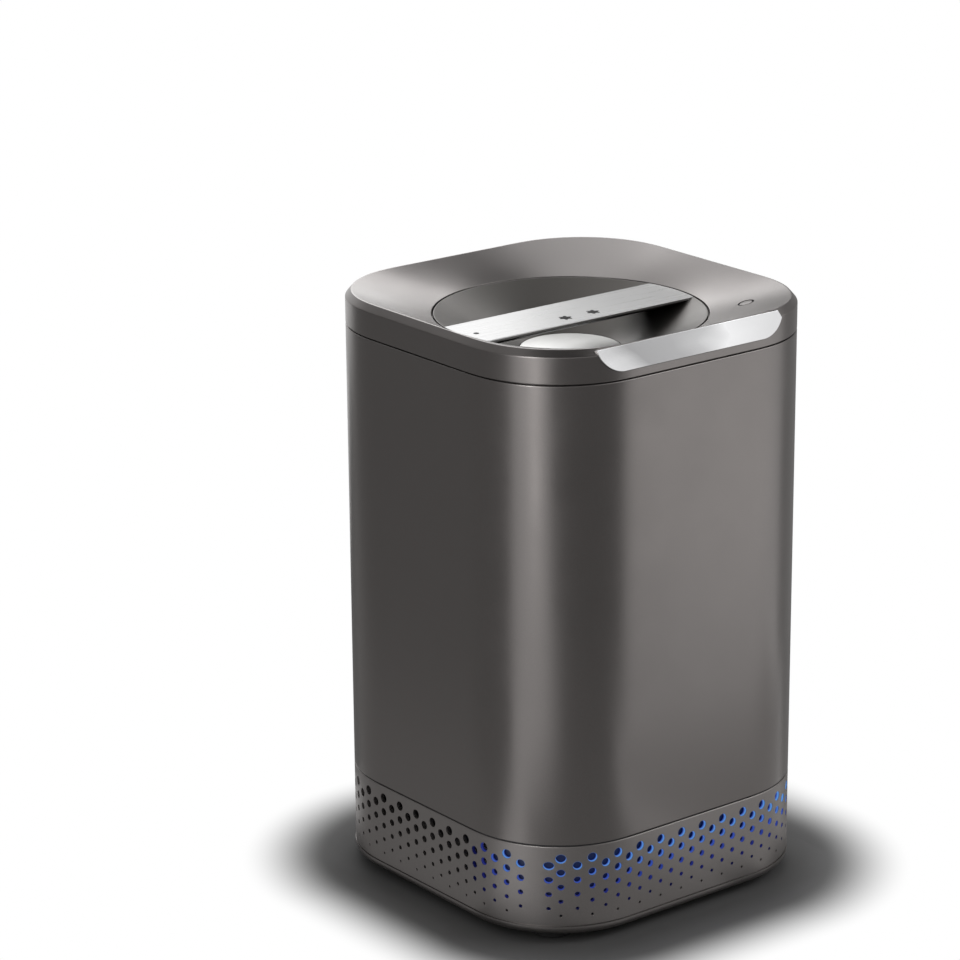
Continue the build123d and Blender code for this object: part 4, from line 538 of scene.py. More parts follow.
# Top collar: wall, bevelled rim, dished deck and the throat under the lid.
collar = {
    "profile": (  # from its foot upwards and inwards: a line and the inset from it, a level and the rise, rounding
        ("side", 0, "foot", 0, 0.5), ("side", 0, "rim", -4, 1.4), ("side", 3.5, "rim", 0, 0.35),
        ("edge", 0, "rim", 0, 0.6), ("opening", 0, "deck", 0, 0.45), ("opening", 0, "ledge", 0, 0),
        ("throat", 0, "ledge", 0, 0.3), ("throat", 0, "throatEnd", 0, 0.4),
        ("throat", -2.5, "throatEnd", 0, 0.3), ("throat", -2.5, "ledge", -4, 0),
        ("opening", -2, "ledge", -4, 0), ("opening", -2, "deck", -2.1, 0), ("edge", 0.5, "rim", -3.3, 0),
        ("edge", 0.5, "deck", 4, 0), ("side", 3, "deck", 4, 0), ("side", 3, "foot", 0, 0),
        ("side", 4.3, "foot", 0, 0), ("side", 4.3, "seam", 0, 0), ("side", 2.3, "seam", 0, 0.3),
        ("side", 2.3, "foot", 0, 0)),
    "longest": 5 * mm,  # longest run of the profile without a point
    "seamGap": 0.8, "throat": 80.8, "throatDrop": 26.0, "ledgeDrop": 4.0,
    "buttonAt": (79.5 * mm, -68 * mm), "buttonHole": 4.9 * mm, "holeHeights": (352 * mm, 370 * mm),
    "grille": (32, 26, 328 * mm, 341 * mm),  # start and sweep of its window, low and high
    "grilleDepth": (79 * mm, 87 * mm), "grilleSteps": 16,
    "stopHeight": (330 * mm, 344 * mm), "stopDepth": (1.5, 1), "stopAngle": 2.4, "stopEdge": 0.4,
    "stopsAt": [start + offset for start in (90, 210, 330) for offset in (-6.8, 29.4)],
    "cornerBend": 28,
}
rim, deck = rimTop / mm, deckEdge / mm
ledge = deck - collar["ledgeDrop"]
levels = {"seam": collarLow.z / mm, "foot": shellHigh.z / mm + collar["seamGap"], "rim": rim, "deck": deck,
          "ledge": ledge, "throatEnd": ledge - collar["throatDrop"]}
insets = {"side": 0, "edge": rimInset / mm, "opening": rimInset / mm + deckWidth / mm}
insets["throat"] = insets["opening"] + opening / mm - collar["throat"]
profile = softOutline([(insets[line] + inset, levels[level] + rise, radius)
                       for line, inset, level, rise, radius in collar["profile"]])
collarSkin = skinAlong(divided(profile, collar["longest"]), bodyRing)

# Front trim, and the recess that it lies in. Its right end is shorter and has a cut corner.
trim = {
    "halfBottom": 53.8, "endRadius": 19.0, "lean": 4.0, "rise": 14.2, "drop": 0.5, "thickness": 2.5,
    "gap": 0.15, "edgeRound": 0.2, "endSteps": 16, "rightShorter": 2.5, "rightCut": (4.0, 3.3),
    "rampLength": 14.0,  # over which the recess runs out above the trim's right end
    "cutReach": 6,
}
facet = hypot(trim["lean"], trim["rise"])
trimUp = Vector((0, trim["lean"], trim["rise"])) / facet
trimOut = Vector((0, -trim["rise"], trim["lean"])) / facet
trimFoot = Vector((0, -half / mm, rim - trim["drop"] - trim["rise"]))


# the trim's outline, moved out by gap; extra carries it on above the trim, for the recess
def trimOutline(gap, extra):
    radius, steps = trim["endRadius"] + gap, trim["endSteps"]
    first, last = pi / 2, asin((trim["endRadius"] - facet) / radius)
    left = [(trim["halfBottom"] + radius * cos(a), trim["endRadius"] - radius * sin(a))
            for a in (first + (last - first) * k / steps for k in range(steps + 1))]
    across, down = trim["rightCut"]
    right = [(x - trim["rightShorter"], y) for x, y in left]
    top = right[-1][0] - across + gap
    right = [point for point in right if point[1] < facet - down + gap] + [(top, facet)]
    if extra:
        left.append((left[-1][0], facet + extra))
        right.append((top - trim["rampLength"], facet + extra))
    return right + [(-x, y) for x, y in reversed(left)]


def trimPrism(gap, extra, inner, outer):
    def lift(point, level):
        depth = outer if level else inner
        return (trimFoot + Vector((point[0], 0, 0)) + trimUp * point[1] + trimOut * depth) * mm
    return prism(trimOutline(gap, extra), lift)


trimRecess = trimPrism(trim["gap"], trim["thickness"], -trim["thickness"], trim["cutReach"])
buttonHole = disc(*collar["buttonAt"], collar["buttonHole"], *collar["holeHeights"])
grilleWindow = sectorBlock(*collar["grilleDepth"], *collar["grille"], steps=collar["grilleSteps"])
addPiece("topCollar", collarSkin, "painted_body", "housing", ["top_collar"],
         [trimRecess, buttonHole, grilleWindow], sharp=collar["cornerBend"])
addPiece("frontTrim", trimPrism(0, 0, trim["gap"] - trim["thickness"], 0), "polished_trim", "housing",
         ["front_trim"], edge=trim["edgeRound"])
stopIn, stopOut = collar["stopDepth"]
ribs = [sectorBlock((collar["throat"] - stopIn) * mm, (collar["throat"] + stopOut) * mm, start,
                    collar["stopAngle"], *collar["stopHeight"]) for start in collar["stopsAt"]]
addPiece("lidStops", joined(ribs), "painted_body", "housing", edge=collar["stopEdge"])
print("collar and trim")

# Perforated skirt. Each hole sits in a cell of its own, and the cells fill the wall.
skirt = {
    "wall": 2.5, "columnPitch": 8.21, "rowPitch": 9.15, "topDrop": 7.7, "topSize": 5.9, "bottomSize": 1.6,
    "rows": 9, "frontMargin": 16.0, "sideMargin": 32.0, "lastShift": 3.0,
    "topRound": 0.7, "roundSteps": (0, 0.07, 0.3, 0.6, 1),
    "segments": 6,  # points along each side of a cell; a hole has four times as many
    "cellReach": 9,  # the most that a cell reaches to either side of its hole
    "rimShare": 0.35,  # where the loop between a hole and the edge of its cell lies
    "steepest": 0.75,  # limits how far a hole stretches round the corner
    "edgeRound": 0.28, "edgeBend": 40,
    "inletX": -34.0, "inletWidth": 28.3, "inletHeight": 20.3, "inletMargin": 20.0,
    "plainStrips": 4, "inletStrips": 8,  # strips of wall beside the inlet, and over and under it
    "lip": (2.4, 7.0, 3.0),  # outer and inner inset of the lip inside its top, height
    "lipRounds": (0, 0, 0.3, 0.3),
}


# the holes' columns along the wall: place, whether the odd or the even rows have holes, how far they stretch
def skirtColumns():
    columns = []
    quarter = wallLength / 4
    cornerAt = half - corner
    for side in range(4):
        margin = skirt["frontMargin"] if side % 2 == 0 else skirt["sideMargin"]
        last = int((half / mm - margin) // skirt["columnPitch"])
        for k in range(-last, last + 1):
            across = k * skirt["columnPitch"] * mm
            if side == 0 and abs(k) == last:
                across += copysign(skirt["lastShift"] * mm, k)
            if side == 2 and abs(-across - skirt["inletX"] * mm) < skirt["inletMargin"] * mm:
                continue
            lo, hi = -quarter / 2, quarter / 2
            for _ in range(40):  # halves the stretch of wall that holds the column
                s = (lo + hi) / 2
                lo, hi = (s, hi) if wallAt(s)[0] < across else (lo, s)
            slope = (max(0, abs(across) - cornerAt) / corner) ** 2
            slant = sqrt(1 - min(skirt["steepest"], slope))
            columns.append((side * quarter + s, k % 2, 1 / sqrt(slant)))
    return sorted(columns)


lightHoles = []


def skirtSkin():
    mesh = bmesh.new()
    n = skirt["segments"]
    rise = skirt["rowPitch"] * mm / n
    reach = n // 2 * rise
    topRow = skirtHigh.z - skirt["topDrop"] * mm
    count = (skirt["rows"] - 1) * n // 2 + n + 1
    levels = [skirtHigh.z - skirt["topRound"] * mm * t for t in skirt["roundSteps"]]
    levels += [topRow + (n // 2 - k) * rise for k in range(count)] + [skirtLow.z]
    known = {}

    def rowAt(row):
        return topRow - row * n // 2 * rise

    def vert(s, z):
        key = (round((s % wallLength) / mm, 3), round(z / mm, 3))
        if key not in known:
            bend = max(0, 1 - (skirtHigh.z - z) / mm / skirt["topRound"])
            inset = skirt["topRound"] * mm * (1 - sqrt(1 - bend * bend))
            known[key] = mesh.verts.new((*wallAt(s, inset), z))
        return known[key]

    def quads(left, right, across, low=skirtLow.z, high=skirtHigh.z, blank=None):
        for a in range(across):
            s0, s1 = (left + (right - left) * t / across for t in (a, a + 1))
            for z1, z0 in zip(levels, levels[1:]):
                if z1 <= low + tiny or z0 >= high - tiny:
                    continue
                if blank and blank[0] < (s0 + s1) / 2 < blank[1] and blank[2] < (z0 + z1) / 2 < blank[3]:
                    continue
                mesh.faces.new((vert(s0, z0), vert(s1, z0), vert(s1, z1), vert(s0, z1)))

    def holeCell(left, right, s, z, wideness, tallness):
        rim = [(left + (right - left) * k / n, z - reach) for k in range(n)]
        rim += [(right, z + (k - n // 2) * rise) for k in range(n)]
        rim += [(right + (left - right) * k / n, z + reach) for k in range(n)]
        rim += [(left, z + (n // 2 - k) * rise) for k in range(n)]
        outer = [vert(*point) for point in rim]
        middle, inner = [], []
        for k, (rimS, rimZ) in enumerate(rim):
            angle = radians(225 + 360 * k / len(rim))  # from the cell's lower left corner on
            holeS, holeZ = s + wideness * cos(angle), z + tallness * sin(angle)
            inner.append(mesh.verts.new((*wallAt(holeS), holeZ)))
            loopS, loopZ = (a + (b - a) * skirt["rimShare"] for a, b in ((holeS, rimS), (holeZ, rimZ)))
            middle.append(mesh.verts.new((*wallAt(loopS), loopZ)))
        for k in range(len(rim)):
            ahead = (k + 1) % len(rim)
            for ring, other in ((outer, middle), (middle, inner)):
                mesh.faces.new((ring[k], ring[ahead], other[ahead], other[k]))

    # plain wall between two columns, with the inlet's opening where it lies there
    def plainWall(left, right):
        strips = skirt["plainStrips"]
        centre = wallLength / 2 - skirt["inletX"] * mm
        wide, tall = skirt["inletWidth"] * mm / 2, skirt["inletHeight"] * mm / 2
        if not left < centre < right:
            quads(left, right, strips)
            return
        middle = (inletLow.z + inletHigh.z) / 2
        blank = (centre - wide, centre + wide, middle - tall, middle + tall)
        quads(left, centre - wide, strips)
        quads(centre - wide, centre + wide, skirt["inletStrips"], blank=blank)
        quads(centre + wide, right, strips)

    columns = skirtColumns()
    for index, (s, odd, stretch) in enumerate(columns):
        before = columns[index - 1][0] - (wallLength if index == 0 else 0)
        after = columns[(index + 1) % len(columns)][0] + (wallLength if index == len(columns) - 1 else 0)
        widest = skirt["cellReach"] * mm
        left = s - min((s - before) / 2, widest)
        right = s + min((after - s) / 2, widest)
        rows = [row for row in range(skirt["rows"]) if (row + odd) % 2 == 1]
        quads(left, right, n, low=rowAt(rows[0] - 1))
        quads(left, right, n, high=rowAt(rows[-1] + 1))
        for row in rows:
            z = rowAt(row)
            share = row / (skirt["rows"] - 1)
            size = (skirt["topSize"] + (skirt["bottomSize"] - skirt["topSize"]) * share) / 2 * mm
            lightHoles.append((s, z, size * stretch, size, share))
            holeCell(left, right, s, z, size * stretch, size)
        if (s + after) / 2 - right > tiny:
            plainWall(right, after - min((after - s) / 2, widest))
    bmesh.ops.recalc_face_normals(mesh, faces=mesh.faces)
    return mesh


inletLow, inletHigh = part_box("inlet_socket")
ventSkirt = toObject("ventSkirt", skirtSkin())
thicken = ventSkirt.modifiers.new("wall", "SOLIDIFY")
thicken.thickness, thicken.offset = skirt["wall"] * mm, -1
bake(ventSkirt)

# Sleeves in the light guide's slot that line the holes of the front: they glow, painted light that stands in for
# the blue light falling on the holes' walls.
paintedGlowSleeve = {
    "play": 0.04, "wall": 0.18, "front": 0.25, "back": 2.4,
    "brightAt": 0.9,  # depth at which a sleeve is brightest
    "levels": (0.80, 1.0, 0.42),  # how bright it is in front, there and at the back
    "sideFade": (-0.046, -0.072),  # full in front of the second Y, none behind the first
    "lastRow": 0.80, "rowFade": 1.18,  # and it fades towards the lowest rows
    "faintest": 0.02, "points": 24,
    "body": (0.01, 0.02, 0.08), "roughness": 0.3,
    "colours": ((0.0, (0, 0, 0.002)), (0.3, (0.012, 0.014, 0.11)), (0.65, (0.035, 0.07, 0.36)),
                (1.0, (0.11, 0.31, 0.66))),
}


# painted light: an emission whose colour follows each vertex's painted glow level
def paintedGlowFinish():
    material, tree, shader = newFinish("paintedBlueGlow", Base_Color=paintedGlowSleeve["body"], Roughness=paintedGlowSleeve["roughness"],
                                       Emission_Strength=1.0)
    shine = addNode(tree, "Attribute", attribute_name="glow")
    colourRamp(tree, shine.outputs["Fac"], paintedGlowSleeve["colours"], shader.inputs["Emission Color"])
    return material


# how much painted blue glow a hole's sleeve gets: none is 0, full is 1
def paintedGlowAt(y, share):
    fromBack, toFront = paintedGlowSleeve["sideFade"]
    beside = min(1, max(0, (y - fromBack) / (toFront - fromBack)))
    return beside * min(1, max(0, paintedGlowSleeve["rowFade"] - share / paintedGlowSleeve["lastRow"]))


paintedGlowMesh = bmesh.new()
paintedGlowLayer = paintedGlowMesh.verts.layers.float.new("glow")
front, bright, back = paintedGlowSleeve["levels"]
paintedGlowRings = (  # gap to the hole's edge, depth, how bright
    (paintedGlowSleeve["play"], paintedGlowSleeve["front"], front), (paintedGlowSleeve["play"], paintedGlowSleeve["back"], back),
    (paintedGlowSleeve["wall"], paintedGlowSleeve["back"], back), (paintedGlowSleeve["wall"], paintedGlowSleeve["brightAt"], bright),
    (paintedGlowSleeve["wall"], paintedGlowSleeve["front"], front))
for s, z, wideness, tallness, share in lightHoles:
    level = paintedGlowAt(wallAt(s)[1], share)
    if level < paintedGlowSleeve["faintest"]:
        continue
    rings = []
    for gap, deep, glowing in paintedGlowRings:
        rings.append([])
        for across, up in circle(1, paintedGlowSleeve["points"]):
            x, y = wallAt(s + (wideness - gap * mm) * across, deep * mm)
            vertex = paintedGlowMesh.verts.new((x, y, z + (tallness - gap * mm) * up))
            vertex[paintedGlowLayer] = level * glowing
            rings[-1].append(vertex)
    for ring, other in zip(rings, rings[1:] + rings[:1]):
        bridge(paintedGlowMesh, ring, other)
bmesh.ops.recalc_face_normals(paintedGlowMesh, faces=paintedGlowMesh.faces)
addPiece("paintedGlowSleeves", paintedGlowMesh, "light_guide", "housing", finish=paintedGlowFinish())

lipOuter, lipInner, lipHeight = skirt["lip"]
top = skirtHigh.z / mm
profile = boxOutline(lipOuter, lipInner, top - lipHeight, top, skirt["lipRounds"])
skirtLip = skinAlong(profile, lambda inset, z: bodyRing(inset, z, lipInner * mm))
addPiece("skirtLip", skirtLip, "painted_base", "housing")
finishPiece(ventSkirt, "painted_base", "housing", ["vent_skirt"], edge=skirt["edgeRound"], segments=2,
            sharp=skirt["edgeBend"])
print("skirt:", len(ventSkirt.data.polygons), "faces")

# Lid's bowl, with the notches for the bar.
lid = {
    "radius": 82.3, "floor": 330.0, "wall": 2.8, "flange": 349.4, "flangeRadius": 80.5,
    "hubThickness": 2, "pivot": 4.15, "padPlay": 0.15, "profileStep": 6 * mm,
    "rounds": (0.3, 0.5, 0.3, 0.2, 0, 0, 1.5, 0, 0),  # of its profile, from the foot of its rim on
    "notchGap": 0.15, "notchTop": 4, "notchReach": 0.1,
}
pad = {"radius": 30.7, "thickness": 1.5, "crown": 1.0, "steps": 16, "rounds": (0, 0.5, 0.3, 0)}
bar = {"width": 41.0, "thickness": 2.0, "edge": 0.5, "endSteps": 16}
slope = (deck - lid["floor"]) / (lid["radius"] - pad["radius"])
recess = lid["floor"] - pad["thickness"]
hubLow = recess - lid["hubThickness"]


def bowlHeight(radius):
    return deck - (lid["radius"] - radius) * slope


seatRadius = pad["radius"] + lid["padPlay"]
flange, flangeRadius, pivot = lid["flange"], lid["flangeRadius"], lid["pivot"]
profile = withRounds([
    (lid["radius"], flange), (lid["radius"], deck), (seatRadius, bowlHeight(seatRadius)), (seatRadius, recess),
    (pivot, recess), (pivot, hubLow), (pad["radius"] - lid["wall"] / 2, hubLow),
    (flangeRadius, bowlHeight(flangeRadius) - lid["wall"]), (flangeRadius, flange)], lid["rounds"])
wide, long = (bar["width"] / 2 + lid["notchGap"]) * mm, lid["notchReach"]
notch = upright([(-long, -wide), (long, -wide), (long, wide), (-long, wide)],
                (deck - bar["thickness"]) * mm, (deck + lid["notchTop"]) * mm)
bowl = skinAlong(divided(profile, lid["profileStep"]), circleRing)
addPiece("lidBowl", bowl, "lid_paint", "lid", ["lid_bowl"], [notch])

# Tabs that lock the bowl in the throat, and the boss that holds its magnet.
tab = {"at": (90, 210, 330), "angle": 8, "outer": 80.4, "thickness": 1.6, "length": 16, "edge": 0.35}
tabTop = bowlHeight(tab["outer"]) - lid["wall"] / 2
tabs = [sectorBlock((tab["outer"] - tab["thickness"]) * mm, tab["outer"] * mm, at - tab["angle"] / 2,
                    tab["angle"], (tabTop - tab["length"]) * mm, tabTop * mm) for at in tab["at"]]
addPiece("lidTabs", joined(tabs), "lid_paint", "lid", edge=tab["edge"])
magnet = {"angle": 315, "place": 74.0, "boss": 4.5, "hole": 3.15, "edge": 0.3}
magnetLow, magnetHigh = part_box("lid_magnet")
angle = radians(magnet["angle"])
bossX, bossY = (magnet["place"] * mm * share for share in (cos(angle), sin(angle)))
boss = disc(bossX, bossY, magnet["boss"] * mm, magnetLow.z, magnetHigh.z)
for vertex in boss.verts:
    if vertex.co.z > (magnetLow.z + magnetHigh.z) / 2:
        vertex.co.z = (bowlHeight(vertex.co.xy.length / mm) - lid["wall"] / 2) * mm
pocket = disc(bossX, bossY, magnet["hole"] * mm, magnetLow.z - mm, magnetHigh.z)
addPiece("magnetBoss", boss, "lid_paint", "lid", cuts=[pocket], edge=magnet["edge"])

# Domed pad in the middle of the bowl.
domeRadius = (pad["radius"] ** 2 + pad["crown"] ** 2) / (2 * pad["crown"])
dome = [(pad["radius"] * t, lid["floor"] + pad["crown"] - domeRadius
         + sqrt(domeRadius ** 2 - (pad["radius"] * t) ** 2))
        for t in (k / pad["steps"] for k in range(pad["steps"]))]
edgeLine = withRounds([
    (pad["radius"] * (pad["steps"] - 0.5) / pad["steps"], dome[-1][1]), (pad["radius"], lid["floor"]),
    (pad["radius"], recess), (pad["radius"] / 2, recess)], pad["rounds"])[1:-1]
line = [Vector(point) * mm for point in dome] + edgeLine + [Vector((0, recess)) * mm]
addPiece("lidPad", skinAlong(line, circleRing, closed=False), "pad", "lid", ["lid_disc"])

# Bar across the bowl; its ends follow the bowl's rim.
wide, reach = bar["width"] / 2 * mm, lid["radius"] * mm
swing = asin(wide / reach)
ends = [swing * (1 - 2 * k / bar["endSteps"]) for k in range(bar["endSteps"] + 1)]
outline = [(-reach * cos(a), reach * sin(a)) for a in ends]
outline += [(reach * cos(a), -reach * sin(a)) for a in ends]
addPiece("lidBar", upright(outline, barLow.z, barHigh.z), "brushed_bar", "lid", ["lid_bar"], edge=bar["edge"])

# Dark beam under the bar: full width at the bar, narrow below, its ends on the bowl.
beam = {"topWidth": 38.0, "topHeight": 0.6, "footWidth": 15.0, "low": 344.5, "play": 0.3, "rounds": (0, 0.3, 0.6)}
beamTop, beamSide = barLow.z / mm, -beam["topWidth"] / 2
beamHalf = [(beamSide, beamTop), (beamSide, beamTop - beam["topHeight"]), (-beam["footWidth"] / 2, beam["low"])]
beamLine = withRounds(beamHalf + [(-across, up) for across, up in reversed(beamHalf)],
                      beam["rounds"] + beam["rounds"][::-1])


def beamEnd(y, z):
    seat = (lid["radius"] - (deck - z / mm) / slope - beam["play"]) * mm
    return sqrt(seat ** 2 - y ** 2)


lidBeam = prism(beamLine, lambda point, level: (beamEnd(*point) * (1 if level else -1), *point))
addPiece("lidBeam", lidBeam, "dark_plastic", "lid", ["lid_bridge"])

# Small inlays on the bar: a mark that shows how the lid is turned, and two plain flower-shaped signs.
signs = {
    "mark": (-74, -3, 1.7), "flowers": ((-11.8, -9.5), (9.5, -9.5)), "size": 3.6, "petals": 6, "wave": 0.22,
    "depth": 0.3, "proud": 0.03, "petalPoints": 12,
}


def flower(x, y, size, petals, wave):
    outline = []
    count = petals * signs["petalPoints"]
    for k in range(count):
        a = 2 * pi * k / count
        radius = size * (1 + wave * cos(petals * a))
        outline.append(((x + radius * cos(a)) * mm, (y + radius * sin(a)) * mm))
    high = barHigh.z + signs["proud"] * mm
    return upright(outline, high - signs["depth"] * mm, high)


inlays = [flower(*signs["mark"], 4, 0)]
inlays += [flower(*place, signs["size"], signs["petals"], signs["wave"]) for place in signs["flowers"]]
addPiece("barInlays", joined(inlays), "rubber", "lid")
print("lid")

# Power button: painted cap in a dark ring, and the stem below that reaches its switch.
button = {
    "cap": 3.75, "capRounds": (0, 0.3, 0), "capSteps": 3, "crown": (2, 0.05), "drop": 2.2,
    "bezel": 4.75, "bezelTop": -0.45, "bezelFoot": -2.8, "bezelRounds": (0, 0.15, 0.1, 0), "bezelSteps": 2,
    "play": 0.03,
    "stem": ((0, 2), (4.5, 2), (4.5, 4.5), (7.8, 4.6), (7.8, 5.8), (2.5, 5.9)),  # radii, depths under the deck
    "pin": ((2.5, 6), (1.4, 6), (1.4, 0), (0, 0)),  # radii, heights over its end
    "stemEdge": 0.15, "stemPoints": 48, "ringPoints": 64,
    "sameWay": 0.01,  # radians between two directions that count as one
}
buttonX, buttonY = collar["buttonAt"]


def deckAt(x, y):
    radius = hypot(x, y)
    reach = min(hypot(*wallAt(k * wallStep, rimInset)) for k, (wallX, wallY, _) in enumerate(wall)
                if abs(remainder(atan2(wallY, wallX) - atan2(y, x), 2 * pi)) < button["sameWay"])
    return deckEdge + (rimTop - deckEdge) * (radius - opening) / (reach - opening)


near = deckAt(buttonX, buttonY)
tiltX = (deckAt(buttonX + mm, buttonY) - near) / mm
tiltY = (deckAt(buttonX, buttonY + mm) - near) / mm


# a ring round the button that lies along the deck's slope; rise is counted from the deck
def buttonRing(radius, rise):
    return [(buttonX + x, buttonY + y, near + x * tiltX + y * tiltY + rise)
            for x, y in circle(radius, button["ringPoints"])]


capFoot, crown = -button["drop"], button["crown"]
cap = withRounds([(button["cap"], capFoot), (button["cap"], 0), crown], button["capRounds"], button["capSteps"])
cap = [Vector((0, capFoot)) * mm] + cap[:-1] + [Vector((0, crown[1])) * mm]
addPiece("buttonCap", skinAlong(cap, buttonRing, closed=False), "painted_body", "power_button", ["power_button"])
bezel = boxOutline(button["bezel"], button["cap"] + button["play"], button["bezelFoot"], button["bezelTop"],
                   button["bezelRounds"], button["bezelSteps"])
addPiece("buttonBezel", skinAlong(bezel, buttonRing), "dark_plastic", "power_button", finish=finishes["rubber"])
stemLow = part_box("power_button")[0].z
stemLine = [(radius, near - depth * mm) for radius, depth in button["stem"]]
stemLine += [(radius, stemLow + height * mm) for radius, height in button["pin"]]
stem = ringSkin([[(buttonX + x, buttonY + y, z) for x, y in circle(radius * mm, button["stemPoints"])]
                 for radius, z in stemLine], closed=False)
addPiece("buttonStem", stem, "dark_plastic", "power_button", edge=button["stemEdge"])
print("button")

# Foam pad of the filter drawer: a soft sheet, a little uneven.
foam = {"round": 1.2, "rows": 24, "dent": 0.25, "waves": (210, 260), "shift": 1}
foamLow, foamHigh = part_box("foam_pad")


def foamSheet():
    middle, spread = (foamLow + foamHigh) / 2, (foamHigh - foamLow) / 2
    mesh = bmesh.new()
    bmesh.ops.create_cube(mesh, size=2)
    bmesh.ops.subdivide_edges(mesh, edges=mesh.edges, cuts=foam["rows"], use_grid_fill=True)
    soft = foam["round"] * mm
    thin = min(range(3), key=lambda k: spread[k])
    for vertex in mesh.verts:
        place = Vector(vertex.co[k] * spread[k] for k in range(3))
        core = Vector(max(-(spread[k] - soft), min(spread[k] - soft, place[k])) for k in range(3))
        away = place - core
        if sum(abs(a) > tiny for a in away) > 1:
            place = core + away.normalized() * soft
        wave = sin(place[0] * foam["waves"][0]) * sin(place[1] * foam["waves"][1] + foam["shift"])
        place[thin] *= 1 - abs(wave * foam["dent"] * mm) / spread[thin]
        vertex.co = middle + place
    return mesh


foamPad = addPiece("foamPad", foamSheet(), "foam", "filter_drawer", ["foam_pad"])
print("foam pad")

# Bucket's pressed line, which shows how far it may be filled.
fill = {"height": 262.0, "wall": 77.3, "width": 1.8, "proud": 0.55, "inWall": 0.3, "rounds": (0, 0.8, 0)}
foot, crest = fill["wall"] + fill["inWall"], fill["wall"] - fill["proud"]
line = withRounds([(foot, fill["height"] - fill["width"] / 2), (crest, fill["height"]),
                   (foot, fill["height"] + fill["width"] / 2)], fill["rounds"])
addPiece("fillLine", skinAlong(line, circleRing), "bucket_metal", "bucket")
print("bucket's fill line")

# Camera.
camera = {
    "target": (0, 0, 0.1794), "towards": (-0.6000, -0.7284, 0.3307), "distance": 2.2576,
    "lens": 138.0, "sensor": 36, "shift": (-0.0944, 0.108), "farthest": 60,
}


def turnTo(thing, direction):
    thing.rotation_euler = direction.to_track_quat("-Z", "Y").to_euler()


lens = bpy.data.cameras.new("camera")
lens.lens, lens.sensor_width, lens.clip_end = camera["lens"], camera["sensor"], camera["farthest"]
lens.shift_x, lens.shift_y = camera["shift"]
view = addToScene("camera", lens)
back = Vector(camera["towards"]).normalized()
view.location = Vector(camera["target"]) + back * camera["distance"]
turnTo(view, -back)
scene.camera = view

# Studio: softboxes, cards that only show in reflections, a pale floor and a white surround.
studio = {
    "softboxes": {  # place, aim, size, power in watts, and whether it also lights what is matt
        "deckBox": ((0.74, 1.02, 0.92), (0.05, 0.0, 0.36), (1.25, 0.68), 4.8, True),
        "keyBox": ((1.6, -1.3, 1.7), (0, 0, 0.2), (1.2, 1.2), 9.0, True),
        "stripBox": ((-0.80, -0.34, 0.68), (-0.09, -0.09, 0.2), (0.14, 0.95), 3.0, False),
    },
    "cards": {  # two opposite corners, how bright it is, and whether it also shades the floor
        "leftCard": ((-0.31, -0.08, 0.0), (-0.31, 1.35, 0.75), 0.25, True),
        "frontCard": ((-0.46, -0.42, 0.0), (0.14, -0.42, 0.55), 0.22, True),
        "topCard": ((-0.55, -0.60, 0.85), (0.05, -0.05, 0.85), 0.05, True),
        "backCard": ((0.28, 0.0, 1.10), (0.86, 0.47, 1.10), 0.10, False),
        "rightCard": ((0.45, -0.20, 0.0), (0.45, 0.60, 0.60), 0.32, False),
        "stripCard": ((-0.50, -0.33, 0.10), (-0.50, -0.25, 0.90), 2.4, False),
        "leftBase": ((-0.305, -0.04, 0.003), (-0.122, 1.20, 0.003), 0.34, False),
        "sideBase": ((0.127, -0.10, 0.003), (0.45, 0.60, 0.003), 0.28, False),
        "backBase": ((-0.12, 0.20, 0.003), (0.12, 1.20, 0.003), 0.20, False),
        "frontBase": ((-0.30, -0.41, 0.003), (0.04, -0.122, 0.003), 0.30, False),
        "rightBase": ((0.07, -0.34, 0.004), (0.40, -0.122, 0.004), 0.50, False),
        "farBase": ((0.42, -1.30, 0.004), (1.10, -0.55, 0.004), 1.35, False),
    },
    "cardColour": (1, 0.99, 0.98),
    "white": (1, 1, 1, 1),
    "world": 0.20,
    "floorRadius": 8.0, "floorPoints": 96, "floorRoughness": 0.8,
    "paintedFloorShadow": (0.15, 0.42),  # painted shadow: how pale the floor's colour is beside the body, and further out
    "paintedShadowReach": (0.0, 0.055),  # the distances from the body for these two
    "floorShift": (0, 0.005, 0),  # moves the floor's painted shadow and its shaded part to the side
    "floorFade": (0.021, 0.076),  # from the shaded floor to the white one, as distances from the body
}

for name, (place, aim, size, power, plain) in studio["softboxes"].items():
    lamp = bpy.data.lights.new(name, "AREA")
    lamp.shape = "RECTANGLE"
    lamp.size, lamp.size_y = size
    lamp.energy = power
    box = addToScene(name, lamp)
    box.location = place
    turnTo(box, Vector(aim) - Vector(place))
    box.visible_camera = False
    box.visible_diffuse = plain

for name, (low, high, level, shades) in studio["cards"].items():
    mesh = bpy.data.meshes.new(name)
    flat = low[2] == high[2]
    mesh.from_pydata([low, (high[0], low[1] if flat else high[1], low[2]), high,
                      (low[0], high[1] if flat else low[1], high[2])], [], [(0, 1, 2, 3)])
    card = addToScene(name, mesh)
    mesh.materials.append(newFinish(name, Base_Color=(0, 0, 0), Specular_IOR_Level=0,
                                    Emission_Color=studio["cardColour"], Emission_Strength=level)[0])
    card.visible_camera = False
    card.visible_diffuse = card.visible_shadow = shades


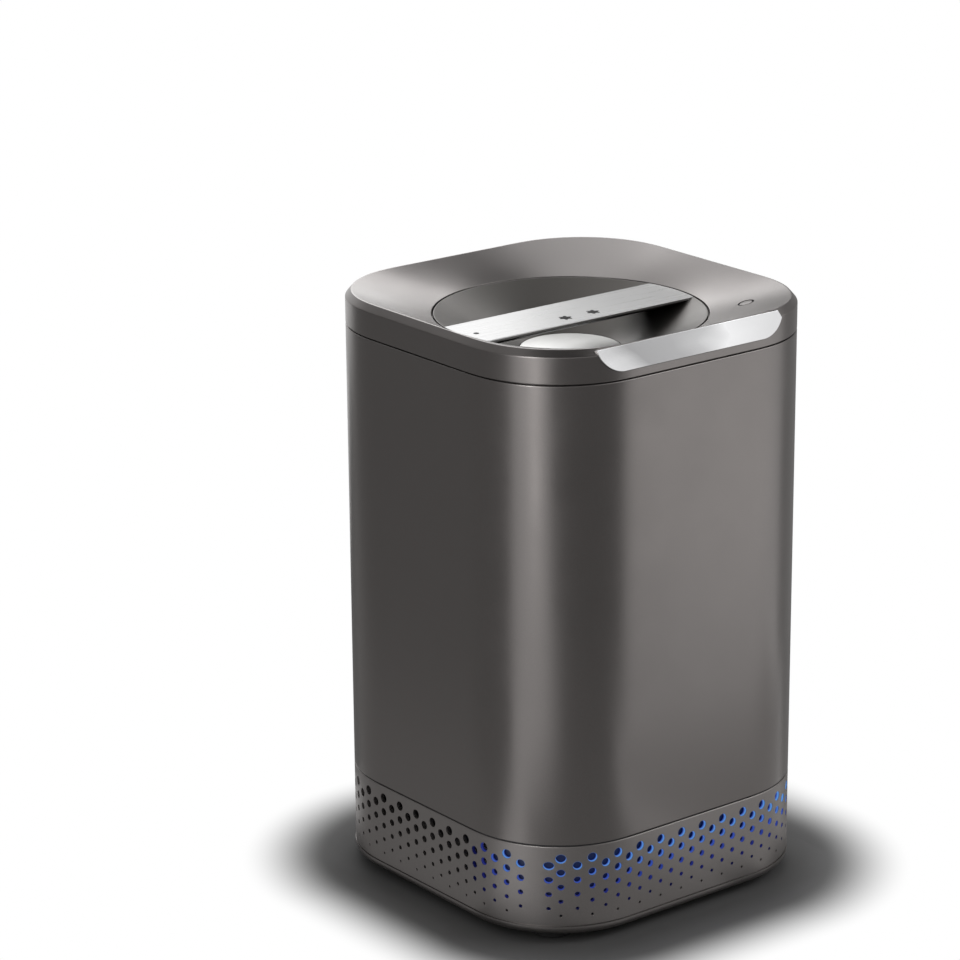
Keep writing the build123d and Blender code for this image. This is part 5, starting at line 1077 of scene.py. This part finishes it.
# 1 where a surface is seen by the camera, in a reflection or through glass, and 0 where it is lit
def seenRays(tree):
    path = addNode(tree, "LightPath")
    seen = path.outputs["Is Camera Ray"]
    for kind in ("Is Glossy Ray", "Is Transmission Ray"):
        seen = calculate(tree, "MAXIMUM", seen, path.outputs[kind])
    return seen


def mixTo(tree, output, share, first, second):
    mix = addNode(tree, "MixShader", {"Fac": share, 1: first, 2: second})
    tree.links.new(mix.outputs["Shader"], tree.nodes[output].inputs["Surface"])


world = bpy.data.worlds.new("surround")
scene.world = world
world.use_nodes = True
tree = world.node_tree
dim = tree.nodes["Background"]
dim.inputs["Color"].default_value = studio["white"]
dim.inputs["Strength"].default_value = studio["world"]
white = addNode(tree, "Background", {"Color": studio["white"], "Strength": 1.0})
mixTo(tree, "World Output", seenRays(tree), dim.outputs["Background"], white.outputs["Background"])

# The floor is white where it is seen and keeps the body's shadow close to it. Beside the body its colour is
# darkened as well, a painted shadow.
floorMesh = bpy.data.meshes.new("floor")
points = studio["floorPoints"]
floorMesh.from_pydata(circleRing(studio["floorRadius"], 0, points), [], [tuple(range(points))])
floor = addToScene("floor", floorMesh)
floorFinish, tree, shader = newFinish("floor", Roughness=studio["floorRoughness"])
flat = half - corner
away = objectPlace(tree)
for operation, amount in (("ADD", {1: studio["floorShift"]}), ("ABSOLUTE", {}), ("SUBTRACT", {1: (flat, flat, 0)}),
                          ("MAXIMUM", {1: (0, 0, 0)}), ("LENGTH", {})):
    step = addNode(tree, "VectorMath", {0: away, **amount}, operation=operation)
    away = step.outputs["Value" if operation == "LENGTH" else "Vector"]


def byDistance(reach, levels):
    distances = [corner + distance for distance in reach]
    return mapRange(tree, away, distances, levels, interpolation_type="SMOOTHSTEP")


# painted shadow: the floor's colour gets darker towards the body
tree.links.new(byDistance(studio["paintedShadowReach"], studio["paintedFloorShadow"]), shader.inputs["Base Color"])
share = calculate(tree, "MULTIPLY", byDistance(studio["floorFade"], (0, 1)), seenRays(tree))
glowing = addNode(tree, "Emission", {"Color": studio["white"], "Strength": 1.0})
mixTo(tree, "Material Output", share, shader.outputs["BSDF"], glowing.outputs["Emission"])
floorMesh.materials.append(floorFinish)

scene.view_settings.view_transform = "Standard"
print("studio ready")
